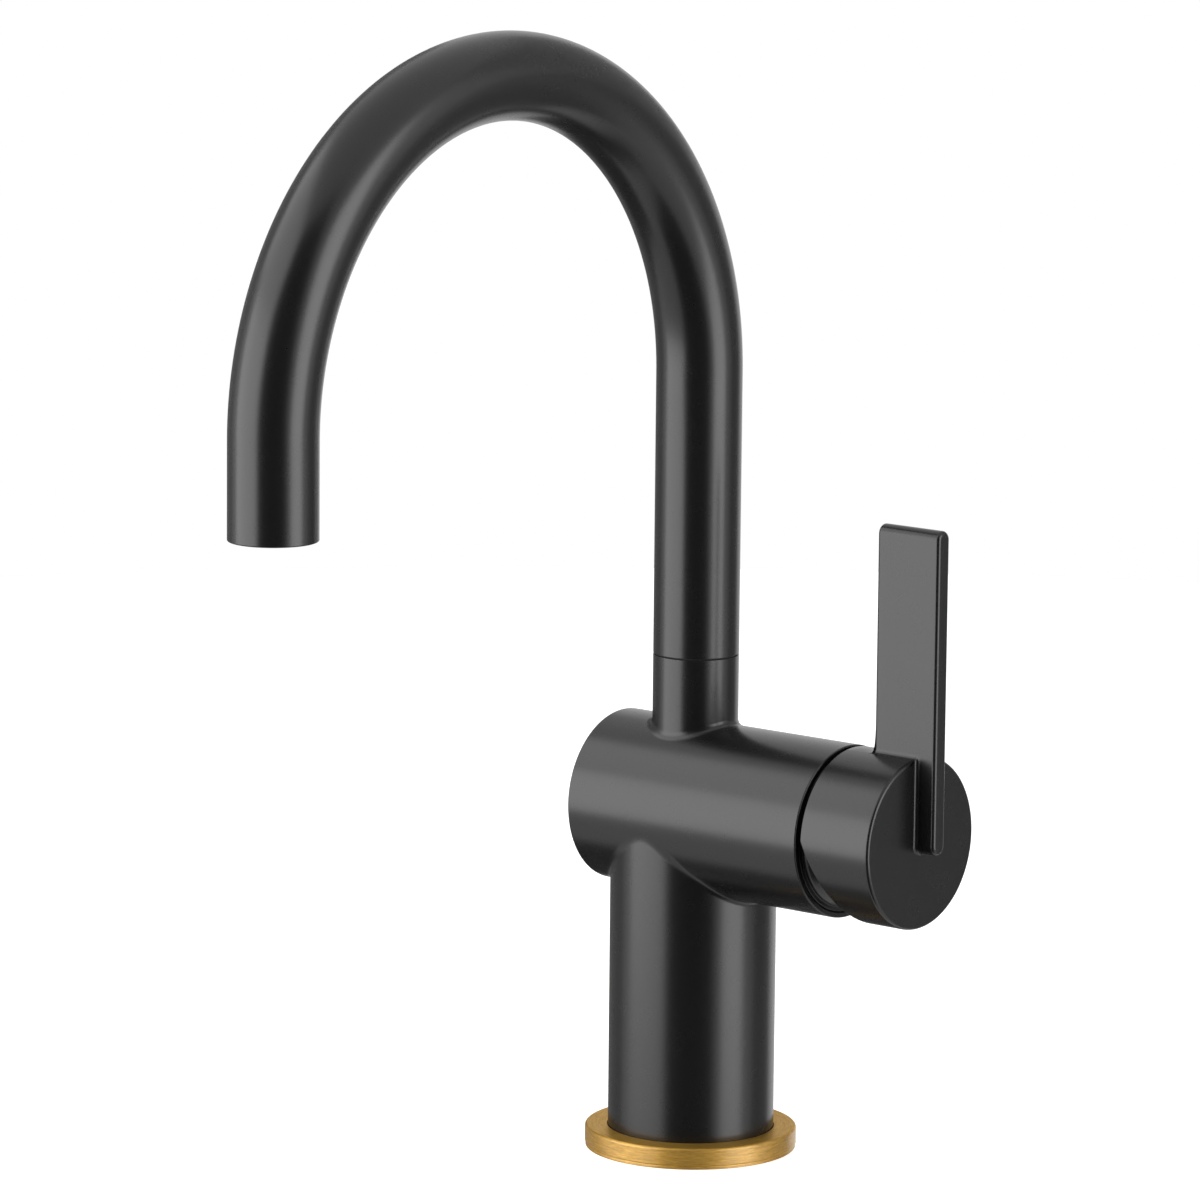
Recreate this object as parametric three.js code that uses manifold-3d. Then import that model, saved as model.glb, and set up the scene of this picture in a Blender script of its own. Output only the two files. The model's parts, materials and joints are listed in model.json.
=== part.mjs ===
// A gooseneck bar faucet with a horizontal barrel and a side lever, in millimetres, +Z up.
// The origin is on the column's axis at the deck. The spout points along -Y and the barrel along +X.
import * as THREE from "three";
import { mergeVertices } from "three/addons/utils/BufferGeometryUtils.js";
import Module from "manifold-3d";

const wasm = await Module();
wasm.setup();

// ---- Driving dimensions ----

// Ring and gasket on the deck
const RING_FLANGE = 5.8; // from the recess for the column to the ring's outside
const RING_HEIGHT = 5.6;
const RING_LIP = 2.4; // thickness of the shoulder that the column stands on
const RING_EDGE = 0.5;
const GASKET_INSET = 2.05; // from the ring's outside to the gasket's
const GASKET_WIDTH = 5;
const GASKET_THICKNESS = 1.6;

// Body casting: column, barrel and neck
const COLUMN_RADIUS = 21.6;
const COLUMN_WALL = 2.1;
const BARREL_Z = 90.3; // height of the barrel's axis
const BARREL_RADIUS = 22.3;
const BARREL_WALL = 1.55;
const BARREL_BACK = 24.2; // from the column's axis to the closed end
const BARREL_FRONT = 50.3; // from the column's axis to the open rim
const BARREL_END_WALL = 3;
const NECK_TOP_Z = 130.4;
const NECK_WALL = 2.1;
const SWIVEL_SEAM = 0.35; // gap between the neck and the spout
const EDGE = 0.4; // rounding of the outside edges

// Spout
const TUBE_RADIUS = 11.1;
const TUBE_WALL = 1.5;
const BEND_RADIUS = 81.5;
const BEND_Z = 203.7; // height of the bend's centre
const OUTLET_LEG = 24.2; // from the bend's centre down to the outlet

// Handle: hub and lever
const HUB_INSET = 0.15; // the hub's radius is this much less than the barrel's
const HUB_WALL = 2.25;
const HUB_GAP = 1.5; // from the barrel's rim to the hub at rest
const HUB_LENGTH = 21.5;
const HUB_FRONT_WALL = 8.3;
const BEVEL_ANGLE = 23.7; // of the cut that lets the lower half swing in, in degrees
const BEVEL_RISE = 1.2; // where the cut starts, above the hub's axis
const LEVER_THICKNESS = 4.8;
const LEVER_DEPTH = 19.3;
const LEVER_PROUD = 5.8; // of the hub's front face
const LEVER_TOP_Z = 170.9;
const LEVER_EDGE = 0.5;

// Base insert, in the column's foot
const BASE_TOP_Z = 13;
const BASE_FOOT_Z = 0.5;
const BASE_STEP = 1.6; // width of its shoulder on the ring
const BASE_WEB = 1; // between each hose port and the tube's socket above it
const SOCKET_DEPTH = 4; // of each supply tube's socket
const HOSE_PORT_RADIUS = 5.2;
const STUD_HOLE_RADIUS = 4.2;
const STUD_HOLE_X = 10.5;
const STUD_COVER = 2; // of metal over the stud hole

// Supply tubes
const SUPPLY_TUBE_RADIUS = 4;
const SUPPLY_TUBE_WALL = 0.8;
const SUPPLY_X = -2;
const SUPPLY_INSERT = 8.45; // how far each tube goes up into the valve body
const COLLAR_WIDTH = 1;
const COLLAR_HEIGHT = 3;

// Valve body, in the barrel
const VALVE_BACK = 10; // from the column's axis to its closed end
const VALVE_WALL = 2.65; // round the cartridge
const VALVE_LIP = 1.5; // thickness of its rim round the nut
const VALVE_PROUD = 0.5; // of its rim past the nut
const POCKET_FLOOR = 8; // from the column's axis to the floor that the cartridge sits on
const PIVOT_SETBACK = 8.3; // from the barrel's rim back to the lever's pivot

// Swivel post, in the neck
const POST_INSERT = 5.95; // how far its foot goes down into the valve body
const POST_FOOT_RADIUS = 6;
const POST_SHOULDER = 1.5; // from the valve body up to its full width
const POST_BORE = 4;
const POST_RISE = 34; // above the neck
const FOOT_SEAL_RISE = 2.6; // above the post's foot
const LOWER_SEAL_RISE = 17; // above the neck
const UPPER_SEAL_RISE = 28;
const SEAL_DEPTH = 1.3; // of the grooves for the spout's seals
const SEAL_HALF = 1.1; // half a groove's height
const FOOT_SEAL_DEPTH = 1.2;
const BUSHING_HEIGHT = 8;
const SNAP_RISE = 0.9; // above the bushing
const SNAP_HEIGHT = 1.5;
const SNAP_DEPTH = 1.5; // of its groove in the post
const SNAP_SLOT = 2.4; // between its ends
const WASHER_GAP = 0.05; // over and under the glide washer

// Aerator, with heights above the outlet
const SLEEVE_WALL = 0.9;
const SLEEVE_FOOT = 1;
const SLEEVE_TOP = 16;
const SLEEVE_LEDGE = 1.2; // width of the ledge that the washer presses on
const LEDGE_HEIGHT = 2.5;
const AERATOR_WALL = 1.3;
const AERATOR_FOOT = 0.5;
const AERATOR_TOP = 11;
const AERATOR_LIP = 0.8; // width of the lip that holds the screen
const LIP_HEIGHT = 0.9;
const SCREEN_FOOT = 1.7;
const SCREEN_HEIGHT = 0.6;
const SCREEN_HOLE_RADIUS = 0.8;
const CORE_DROP = 0.4; // of the core below the housing's top
const CORE_HOLE_RADIUS = 1.3;
const HOLE_MARGIN = 2.55; // from the core's outside to the middle of its holes
const AERATOR_WASHER_WIDTH = 2.5;

// Cartridge
const CARTRIDGE_WALL = 2;
const CARTRIDGE_SHOULDER = 4.8; // from the pivot back to the shoulder that the nut presses on
const CARTRIDGE_STEP = 5.2; // width of that shoulder, round its neck
const CARTRIDGE_NECK_DROP = 2; // from the guide's front back to the housing's
const CARTRIDGE_STAND = 0.6; // between the pocket's floor and the cartridge
const CARTRIDGE_BASE_HEIGHT = 4.6;
const PORT_RADIUS = 2.8;
const PORT_INSET = 6.7; // from the outside of the cartridge's discs to the middle of each port
const PORT_SEAL_WIDTH = 1.5;
const PORT_SEAL_HEIGHT = 1.8;
const FIXED_DISC_HEIGHT = 3.6;
const MOVING_DISC_HEIGHT = 3.9;
const DISC_CLEARANCE = 1; // between the moving disc at its limits and the housing
const DISC_RIM = 3; // round the moving disc's mixing chamber
const CHAMBER_DEPTH = 2.2;
const SLIDER_FLAT = 1; // cut off each side of the slider
const SLIDER_COVER = 1.5; // in front of the middle of the stem's ball
const GUIDE_STEP = 2.6; // from the housing's shoulder back to the guide's
const GUIDE_NECK_RADIUS = 8.7;
const GUIDE_RISE = 4; // of the guide's front past the pivot
const LUG_WIDTH = 12;
const LUG_THICKNESS = 2.3;

// Control stem
const FLOW_ANGLE = 22; // full travel of the lever, in degrees
const STEM_SIZE = 7.4; // across its square end
const STEM_COVER = 3.3; // from its end to the hub's front face
const STEM_COLLAR = 0.7; // how far its collar stands out round the square
const COLLAR_HALF = 4.5; // half the collar's length
const STEM_CHAMFER = 1;
const STEM_NECK_RADIUS = 2.4;
const STEM_ARM = 13; // from the pivot to the middle of its ball
const STEM_BALL_RADIUS = 3;
const STEM_PIN_RADIUS = 1.5;

// Nut and bonnet
const NUT_FRONT = 6.7; // from the cartridge's shoulder
const NUT_NOSE_RISE = 6; // of the front of its nose, which carries the bonnet, past the pivot
const BONNET_SEAL_RISE = 2.2; // past the nut's front
const BONNET_SEAL_DEPTH = 1.2;
const BONNET_SEAL_HALF = 0.9;
const BONNET_SLEEVE_WALL = 2.5;
const BONNET_DOME_WALL = 1.6;
const BONNET_GAP = 0.5; // to the hub's bore
const BONNET_HOLE_RADIUS = 10.5;

// Set screw, in the hub's underside
const SCREW_RADIUS = 2.5;
const SCREW_SETBACK = 5.1; // from the hub's front face
const SCREW_RECESS = 10.85; // from the hub's outside up to its foot
const KEY_RADIUS = 1.4;
const KEY_DEPTH = 2.5;
const PLUG_SETBACK = 0.6;
const PLUG_HEIGHT = 2.4;

// Clearances
const FIT = 0.3; // round a piece that is pushed or screwed into another
const SEAT = 0.15; // between faces that press on each other
const PAST = 1; // how far a cutting tool runs past the face that it opens

// ---- Colours and finishes ----

const black = () => new THREE.MeshStandardMaterial({ color: 0x2b2b2c, roughness: 0.45, metalness: 0.3 });
const gold = () => new THREE.MeshStandardMaterial({ color: 0xb98c3c, roughness: 0.35, metalness: 0.9 });
const brass = () => new THREE.MeshStandardMaterial({ color: 0xb59a56, roughness: 0.4, metalness: 0.9 });
const copper = () => new THREE.MeshStandardMaterial({ color: 0xb5673f, roughness: 0.35, metalness: 0.9 });
const steel = () => new THREE.MeshStandardMaterial({ color: 0xb8babc, roughness: 0.35, metalness: 0.9 });
const rubber = () => new THREE.MeshStandardMaterial({ color: 0x161616, roughness: 0.85, metalness: 0 });
const ceramic = () => new THREE.MeshStandardMaterial({ color: 0xe8e6e0, roughness: 0.4, metalness: 0 });
const greyPlastic = () => new THREE.MeshStandardMaterial({ color: 0x8b9094, roughness: 0.6, metalness: 0 });
const whitePlastic = () => new THREE.MeshStandardMaterial({ color: 0xe2e2de, roughness: 0.6, metalness: 0 });

// ---- Solids ----

// Sides of the rounds
const ROUND = 36;
const CARTRIDGE_ROUND = 32;
const TUBE_ROUND = 28;
const POST_ROUND = 24;
const SMALL_ROUND = 16;
const HOLE_ROUND = 12;
const HEXAGON = 6;

// A closed geometry as a solid that can be joined and cut.
function solidOf(geometry) {
  const bare = geometry.clone();
  bare.deleteAttribute("normal");
  bare.deleteAttribute("uv");
  const merged = mergeVertices(bare, 1e-4);
  const corners = merged.index.array;
  const triangles = [];
  for (let i = 0; i < corners.length; i += 3) {
    const [a, b, c] = corners.slice(i, i + 3);
    if (a !== b && b !== c && c !== a) triangles.push(a, b, c);
  }
  return new wasm.Manifold(
    new wasm.Mesh({
      numProp: 3,
      vertProperties: merged.attributes.position.array,
      triVerts: new Uint32Array(triangles),
    }),
  );
}

function geometryOf(solid) {
  const mesh = solid.getMesh();
  const geometry = new THREE.BufferGeometry();
  geometry.setAttribute("position", new THREE.BufferAttribute(mesh.vertProperties, 3));
  geometry.setIndex(new THREE.BufferAttribute(mesh.triVerts, 1));
  geometry.computeVertexNormals();
  return geometry;
}

// A solid turned about +Z from [radius, height] corners that start and end on the axis.
function turned(corners, sides = ROUND) {
  const points = corners.map(([radius, height]) => new THREE.Vector2(radius, height));
  return solidOf(new THREE.LatheGeometry(points, sides).rotateX(Math.PI / 2));
}

// A ring turned about +Z from corners of which the last joins the first.
function turnedRing(corners, sides = ROUND) {
  return turned([...corners, corners[0]], sides);
}

// A cylinder from one height to another, with its edges cut off by edge.
function rod(radius, low, high, sides = ROUND, edge = 0) {
  const lower = [[0, low], [radius - edge, low], [radius, low + edge]];
  const upper = [[radius, high - edge], [radius - edge, high], [0, high]];
  return turned([...lower, ...upper], sides);
}

function pipe(inner, outer, low, high, sides = ROUND) {
  return turnedRing([[inner, low], [outer, low], [outer, high], [inner, high]], sides);
}

// A seal about +Z: a ring whose section is a hexagon in place of a circle.
function sealRing(inner, outer, height, sides = SMALL_ROUND) {
  const section = (outer - inner) / 2;
  const middle = (outer + inner) / 2;
  const corner = (_, i) => {
    const angle = (i * 2 * Math.PI) / HEXAGON;
    return [middle + section * Math.cos(angle), height + section * Math.sin(angle)];
  };
  return turnedRing(Array.from({ length: HEXAGON }, corner), sides);
}

// A box between two corners.
function block(low, high) {
  const size = high.map((value, i) => value - low[i]);
  const centre = high.map((value, i) => (value + low[i]) / 2);
  return solidOf(new THREE.BoxGeometry(...size).translate(...centre));
}

function moved(solid, x, y, z) {
  return solidOf(geometryOf(solid).translate(x, y, z));
}

// Turns a solid made about +Z so that it lies along +X at the barrel's axis.
function alongBarrel(solid) {
  return solidOf(geometryOf(solid).rotateY(Math.PI / 2).translate(0, 0, BARREL_Z));
}

function join(...solids) {
  return solids.reduce((whole, solid) => whole.add(solid));
}

function cut(whole, ...tools) {
  return tools.reduce((rest, tool) => rest.subtract(tool), whole);
}

// ---- Groups ----

const pivotX = BARREL_FRONT - PIVOT_SETBACK;

const faucet = new THREE.Group();
faucet.name = "gooseneck_bar_faucet";
const barrel = new THREE.Group(); // its own +Z runs along the barrel
barrel.position.set(0, 0, BARREL_Z);
barrel.rotation.y = Math.PI / 2;
const lever = new THREE.Group(); // what tilts with the lever, held at the pivot
lever.position.set(pivotX, 0, BARREL_Z);
const spout = new THREE.Group(); // what turns on the neck
faucet.add(barrel, lever, spout);

function place(name, solid, material, group = faucet) {
  const mesh = new THREE.Mesh(geometryOf(solid), material);
  mesh.name = name;
  group.add(mesh);
}

// ---- Ring and gasket ----

const columnFoot = RING_LIP + SEAT;
const columnBore = COLUMN_RADIUS - COLUMN_WALL;
const recessRadius = COLUMN_RADIUS + SEAT;
const ringRadius = recessRadius + RING_FLANGE;
const baseRadius = columnBore - FIT;
const spigotRadius = baseRadius - BASE_STEP;
const gasketOuter = ringRadius - GASKET_INSET;
const gasketInner = gasketOuter - GASKET_WIDTH;

function deckRing() {
  const bore = spigotRadius + FIT;
  const foot = [[bore, 0], [ringRadius - RING_EDGE, 0], [ringRadius, RING_EDGE]];
  const head = [[ringRadius, RING_HEIGHT - RING_EDGE], [ringRadius - RING_EDGE, RING_HEIGHT]];
  const inside = [[recessRadius, RING_HEIGHT], [recessRadius, RING_LIP], [bore, RING_LIP]];
  const groove = pipe(gasketInner - SEAT, gasketOuter + SEAT, -PAST, GASKET_THICKNESS + SEAT);
  return cut(turnedRing([...foot, ...head, ...inside]), groove);
}

place("deck_ring", deckRing(), gold());
place("deck_gasket", pipe(gasketInner, gasketOuter, 0, GASKET_THICKNESS), rubber());

// ---- Sizes that the barrel gives to the valve ----

const shellBore = BARREL_RADIUS - BARREL_WALL;
const valveRadius = shellBore - FIT;
const pocketRadius = valveRadius - VALVE_WALL;
const cartridgeRadius = pocketRadius - FIT; // 17.5, for the common 35 mm cartridge
const cavityRadius = cartridgeRadius - CARTRIDGE_WALL;
const stackRadius = cavityRadius - FIT;
const portCircle = stackRadius - PORT_INSET;

// ---- Base insert with the hose ports ----

// Each port of the cartridge, seen along the barrel: hot and cold below, mixed water above.
const portAngles = { hot: 210, cold: 330, mixed: 90 };
const ports = Object.entries(portAngles).map(([name, degrees]) => {
  const angle = (degrees * Math.PI) / 180;
  return { name, y: portCircle * Math.cos(angle), up: portCircle * Math.sin(angle) };
});
const supplies = ports.filter((port) => port.name !== "mixed");
const mixed = ports.find((port) => port.name === "mixed");
const socketRadius = SUPPLY_TUBE_RADIUS + FIT;
const socketFloor = BASE_TOP_Z - SOCKET_DEPTH;

function hosePortCuts(port) {
  const socket = rod(socketRadius, socketFloor, BASE_TOP_Z + PAST, SMALL_ROUND);
  const passage = rod(PORT_RADIUS, BASE_FOOT_Z, BASE_TOP_Z, HOLE_ROUND);
  const hosePort = rod(HOSE_PORT_RADIUS, BASE_FOOT_Z - PAST, socketFloor - BASE_WEB, SMALL_ROUND);
  return moved(join(socket, passage, hosePort), SUPPLY_X, port.y, 0);
}

function baseInsert() {
  const body = rod(baseRadius, columnFoot + FIT, BASE_TOP_Z);
  const spigot = rod(spigotRadius, BASE_FOOT_Z, BASE_TOP_Z);
  const studHole = rod(STUD_HOLE_RADIUS, BASE_FOOT_Z - PAST, BASE_TOP_Z - STUD_COVER, HOLE_ROUND);
  return cut(join(body, spigot), moved(studHole, STUD_HOLE_X, 0, 0), ...supplies.map(hosePortCuts));
}

place("base_insert", baseInsert(), brass());

// ---- Body casting ----

const neckBore = TUBE_RADIUS - NECK_WALL;
const neckTop = NECK_TOP_Z - SWIVEL_SEAM / 2;

function bodyShell() {
  const column = rod(COLUMN_RADIUS, columnFoot, BARREL_Z);
  const barrelOut = alongBarrel(rod(BARREL_RADIUS, -BARREL_BACK, BARREL_FRONT, ROUND, EDGE));
  const neck = rod(TUBE_RADIUS, BARREL_Z, neckTop, TUBE_ROUND);
  const columnIn = rod(columnBore, columnFoot - PAST, BARREL_Z);
  const barrelIn = alongBarrel(rod(shellBore, BARREL_END_WALL - BARREL_BACK, BARREL_FRONT + PAST));
  const neckIn = rod(neckBore, BARREL_Z, neckTop + PAST, SMALL_ROUND);
  return cut(join(column, barrelOut, neck), columnIn, barrelIn, neckIn);
}

place("body_shell", bodyShell(), black());

// ---- Valve body in the barrel ----

const cartridgeShoulder = pivotX - CARTRIDGE_SHOULDER;
const nutRadius = valveRadius - VALVE_LIP;
const nutFront = cartridgeShoulder + NUT_FRONT;
const valveFront = nutFront + VALVE_PROUD;
const supplyTop = BARREL_Z - valveRadius + SUPPLY_INSERT;
const postFoot = BARREL_Z + valveRadius - POST_INSERT;

// A round hole along the barrel at a port, in the barrel's frame, where +X points down.
function portHole(port, radius, low, high) {
  return moved(rod(radius, low, high, HOLE_ROUND), -port.up, port.y, 0);
}

function valveBody() {
  const outside = rod(valveRadius, -VALVE_BACK, valveFront);
  const pocket = rod(pocketRadius, POCKET_FLOOR, valveFront + PAST);
  const nutSeat = rod(nutRadius + FIT, cartridgeShoulder, valveFront + PAST);
  const levelBack = SUPPLY_X - PORT_RADIUS;
  const level = ports.map((port) => portHole(port, PORT_RADIUS, levelBack, POCKET_FLOOR + PAST));
  const rises = supplies.map((port) => {
    const socket = rod(socketRadius, columnFoot, supplyTop + SEAT, SMALL_ROUND);
    const passage = rod(PORT_RADIUS, supplyTop - PAST, BARREL_Z + port.up, HOLE_ROUND);
    return moved(join(socket, passage), SUPPLY_X, port.y, 0);
  });
  const outlet = rod(PORT_RADIUS, BARREL_Z + mixed.up, postFoot, HOLE_ROUND);
  const postSocket = rod(POST_FOOT_RADIUS + FIT, postFoot - SEAT, neckTop, SMALL_ROUND);
  return cut(alongBarrel(cut(outside, pocket, nutSeat, ...level)), ...rises, outlet, postSocket);
}

place("valve_body", valveBody(), brass());

// ---- Supply tubes ----

for (const port of supplies) {
  const bore = SUPPLY_TUBE_RADIUS - SUPPLY_TUBE_WALL;
  const tube = pipe(bore, SUPPLY_TUBE_RADIUS, socketFloor + SEAT, supplyTop, SMALL_ROUND);
  place(`${port.name}_supply_tube`, moved(tube, SUPPLY_X, port.y, 0), copper());
  const collar = pipe(socketRadius, socketRadius + COLLAR_WIDTH, 0, COLLAR_HEIGHT, HOLE_ROUND);
  place(`${port.name}_tube_collar`, moved(collar, SUPPLY_X, port.y, BASE_TOP_Z + SEAT), steel());
}

// ---- Swivel post in the neck ----

const spoutBore = TUBE_RADIUS - TUBE_WALL;
const spoutFoot = NECK_TOP_Z + SWIVEL_SEAM / 2;
const postRadius = neckBore - FIT;
const footSealZ = postFoot + FOOT_SEAL_RISE;
const spoutSealZ = { lower: NECK_TOP_Z + LOWER_SEAL_RISE, upper: NECK_TOP_Z + UPPER_SEAL_RISE };
const snapFoot = NECK_TOP_Z + BUSHING_HEIGHT + SNAP_RISE;
const snapTop = snapFoot + SNAP_HEIGHT;

// The tool that cuts a groove round a post or a nose.
function groove(radius, depth, low, high, sides = POST_ROUND) {
  return pipe(radius - depth, radius + PAST, low, high, sides);
}

function swivelPost() {
  const shoulder = BARREL_Z + valveRadius + POST_SHOULDER;
  const postTop = NECK_TOP_Z + POST_RISE;
  const foot = rod(POST_FOOT_RADIUS, postFoot, shoulder + PAST, SMALL_ROUND);
  const post = rod(postRadius, shoulder, postTop, POST_ROUND);
  const bore = rod(POST_BORE, postFoot - PAST, postTop + PAST, SMALL_ROUND);
  const snapGroove = groove(postRadius, SNAP_DEPTH, snapFoot - SEAT, snapTop + SEAT);
  const low = footSealZ - SEAL_HALF;
  const footGroove = groove(POST_FOOT_RADIUS, FOOT_SEAL_DEPTH, low, low + 2 * SEAL_HALF, SMALL_ROUND);
  const sealGrooves = Object.values(spoutSealZ).map((z) =>
    groove(postRadius, SEAL_DEPTH, z - SEAL_HALF, z + SEAL_HALF),
  );
  return cut(join(foot, post), bore, snapGroove, footGroove, ...sealGrooves);
}

function snapRing() {
  const ring = pipe(postRadius - SNAP_DEPTH + FIT, spoutBore - FIT, snapFoot, snapTop, POST_ROUND);
  const half = SNAP_SLOT / 2;
  return cut(ring, block([0, -half, snapFoot - PAST], [TUBE_RADIUS, half, snapTop + PAST]));
}

const footSealInner = POST_FOOT_RADIUS - FOOT_SEAL_DEPTH + SEAT;
const spoutSealInner = postRadius - SEAL_DEPTH + SEAT;
place("swivel_post", swivelPost(), brass());
place("post_foot_seal", sealRing(footSealInner, POST_FOOT_RADIUS + FIT - SEAT, footSealZ), rubber());
for (const [name, z] of Object.entries(spoutSealZ)) {
  place(`${name}_spout_seal`, sealRing(spoutSealInner, spoutBore - SEAT, z), rubber());
}
place("spout_snap_ring", snapRing(), steel());
const glideWasher = pipe(
  postRadius + SEAT,
  TUBE_RADIUS - EDGE,
  neckTop + WASHER_GAP,
  spoutFoot - WASHER_GAP,
  TUBE_ROUND,
);
place("spout_glide_washer", glideWasher, rubber());

// ---- Spout ----

const BEND_STEPS = 20;
const outletZ = BEND_Z - OUTLET_LEG;

// Straight up from the neck, half a turn over the sink and straight down, with a step for each leg.
class GooseneckCurve extends THREE.Curve {
  angleAt(t) {
    const step = t * (BEND_STEPS + 2) - 1;
    return (THREE.MathUtils.clamp(step, 0, BEND_STEPS) * Math.PI) / BEND_STEPS;
  }
  getPoint(t, point = new THREE.Vector3()) {
    const step = t * (BEND_STEPS + 2);
    const angle = this.angleAt(t);
    let z = BEND_Z + BEND_RADIUS * Math.sin(angle);
    if (step < 1) z = THREE.MathUtils.lerp(spoutFoot, BEND_Z, step);
    if (step > BEND_STEPS + 1) z = THREE.MathUtils.lerp(BEND_Z, outletZ, step - BEND_STEPS - 1);
    return point.set(0, BEND_RADIUS * (Math.cos(angle) - 1), z);
  }
  getPointAt(u, point) {
    return this.getPoint(u, point);
  }
  getTangentAt(u, tangent = new THREE.Vector3()) {
    const angle = this.angleAt(u);
    return tangent.set(0, -Math.sin(angle), Math.cos(angle));
  }
}

function spoutTube() {
  const section = new THREE.Shape().absarc(0, 0, TUBE_RADIUS, 0, 2 * Math.PI);
  section.holes.push(new THREE.Path().absarc(0, 0, spoutBore, 0, 2 * Math.PI, true));
  const extrusion = { steps: BEND_STEPS + 2, curveSegments: HOLE_ROUND, bevelEnabled: false };
  return solidOf(new THREE.ExtrudeGeometry(section, { ...extrusion, extrudePath: new GooseneckCurve() }));
}

const bushingFoot = spoutFoot + WASHER_GAP;
const bushingTop = NECK_TOP_Z + BUSHING_HEIGHT;
const bushing = pipe(postRadius + SEAT, spoutBore - SEAT, bushingFoot, bushingTop, POST_ROUND);
place("spout_tube", spoutTube(), black(), spout);
place("spout_bushing", bushing, whitePlastic(), spout);

// ---- Aerator in the outlet ----

const outlet = new THREE.Group(); // its own origin is at the middle of the outlet
outlet.position.set(0, -2 * BEND_RADIUS, outletZ);
spout.add(outlet);
const sleeveRadius = spoutBore - SEAT;
const sleeveBore = sleeveRadius - SLEEVE_WALL;
const ledgeFoot = SLEEVE_TOP - LEDGE_HEIGHT;
const aeratorRadius = sleeveBore - FIT;
const aeratorBore = aeratorRadius - AERATOR_WALL;
const coreRadius = aeratorBore - SEAT;
const screenTop = SCREEN_FOOT + SCREEN_HEIGHT;

function aeratorSleeve() {
  const ledge = sleeveBore - SLEEVE_LEDGE;
  const wall = [[sleeveBore, SLEEVE_FOOT], [sleeveRadius, SLEEVE_FOOT], [sleeveRadius, SLEEVE_TOP]];
  const top = [[ledge, SLEEVE_TOP], [ledge, ledgeFoot], [sleeveBore, ledgeFoot]];
  return turnedRing([...wall, ...top], POST_ROUND);
}

function aeratorHousing() {
  const lip = aeratorBore - AERATOR_LIP;
  const lipTop = AERATOR_FOOT + LIP_HEIGHT;
  const wall = [[lip, AERATOR_FOOT], [aeratorRadius, AERATOR_FOOT], [aeratorRadius, AERATOR_TOP]];
  const inside = [[aeratorBore, AERATOR_TOP], [aeratorBore, lipTop], [lip, lipTop]];
  return turnedRing([...wall, ...inside], POST_ROUND);
}

// A disc that fills the housing, with a ring of round holes round a middle one.
function piercedDisc(holes, holeRadius, low, high) {
  const holeCircle = coreRadius - HOLE_MARGIN;
  const shape = new THREE.Shape().absarc(0, 0, coreRadius, 0, 2 * Math.PI);
  shape.holes.push(new THREE.Path().absarc(0, 0, holeRadius, 0, 2 * Math.PI, true));
  for (let i = 0; i < holes; i++) {
    const angle = (2 * Math.PI * i) / holes;
    const at = [holeCircle * Math.cos(angle), holeCircle * Math.sin(angle)];
    shape.holes.push(new THREE.Path().absarc(...at, holeRadius, 0, 2 * Math.PI, true));
  }
  const extrusion = { depth: high - low, curveSegments: 4, bevelEnabled: false };
  return solidOf(new THREE.ExtrudeGeometry(shape, extrusion).translate(0, 0, low));
}

const screen = piercedDisc(9, SCREEN_HOLE_RADIUS, SCREEN_FOOT, screenTop);
const core = piercedDisc(6, CORE_HOLE_RADIUS, screenTop + SEAT, AERATOR_TOP - CORE_DROP);
const washerInner = aeratorRadius - AERATOR_WASHER_WIDTH;
const washer = pipe(washerInner, aeratorRadius, AERATOR_TOP + SEAT, ledgeFoot - SEAT, POST_ROUND);
place("aerator_sleeve", aeratorSleeve(), brass(), outlet);
place("aerator_housing", aeratorHousing(), greyPlastic(), outlet);
place("aerator_screen", screen, steel(), outlet);
place("aerator_core", core, whitePlastic(), outlet);
place("aerator_washer", washer, rubber(), outlet);

// ---- Cartridge, stacked along the barrel from the pocket's floor ----

const stemRest = ((FLOW_ANGLE / 2) * Math.PI) / 180; // the stem starts half its travel above the axis
const discRest = STEM_ARM * Math.sin(stemRest); // and its ball as far below it
const discRadius = cavityRadius - discRest - DISC_CLEARANCE;
const sealFoot = POCKET_FLOOR + SEAT;
const sealFront = sealFoot + PORT_SEAL_HEIGHT;
const baseFoot = POCKET_FLOOR + CARTRIDGE_STAND;
const baseFront = baseFoot + CARTRIDGE_BASE_HEIGHT;
const fixedFoot = baseFront + SEAT;
const fixedFront = fixedFoot + FIXED_DISC_HEIGHT;
const movingFoot = fixedFront + SEAT;
const movingFront = movingFoot + MOVING_DISC_HEIGHT;
const ballX = pivotX - STEM_ARM;
const sliderFront = ballX + SLIDER_COVER;
const guideFoot = sliderFront + FIT;
const guideStep = cartridgeShoulder - GUIDE_STEP;
const guideFront = pivotX + GUIDE_RISE;
const sliderHalf = discRadius - SLIDER_FLAT;
const stemCollar = STEM_SIZE / 2 + STEM_COLLAR;
const cartridgeNeck = cartridgeRadius - CARTRIDGE_STEP;

function cartridgeBase() {
  const seatRadius = PORT_RADIUS + PORT_SEAL_WIDTH + FIT;
  const holes = ports.map((port) => portHole(port, PORT_RADIUS, baseFoot - PAST, baseFront + PAST));
  const seats = ports.map((port) => portHole(port, seatRadius, baseFoot - PAST, sealFront + SEAT));
  return cut(rod(stackRadius, baseFoot, baseFront, CARTRIDGE_ROUND), ...holes, ...seats);
}

place("cartridge_base", cartridgeBase(), whitePlastic(), barrel);
for (const port of ports) {
  const seal = pipe(PORT_RADIUS, PORT_RADIUS + PORT_SEAL_WIDTH, sealFoot, sealFront, SMALL_ROUND);
  place(`${port.name}_port_seal`, moved(seal, -port.up, port.y, 0), rubber(), barrel);
}

function fixedDisc() {
  const holes = ports.map((port) => portHole(port, PORT_RADIUS, fixedFoot - PAST, fixedFront + PAST));
  return cut(rod(stackRadius, fixedFoot, fixedFront, CARTRIDGE_ROUND), ...holes);
}

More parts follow.
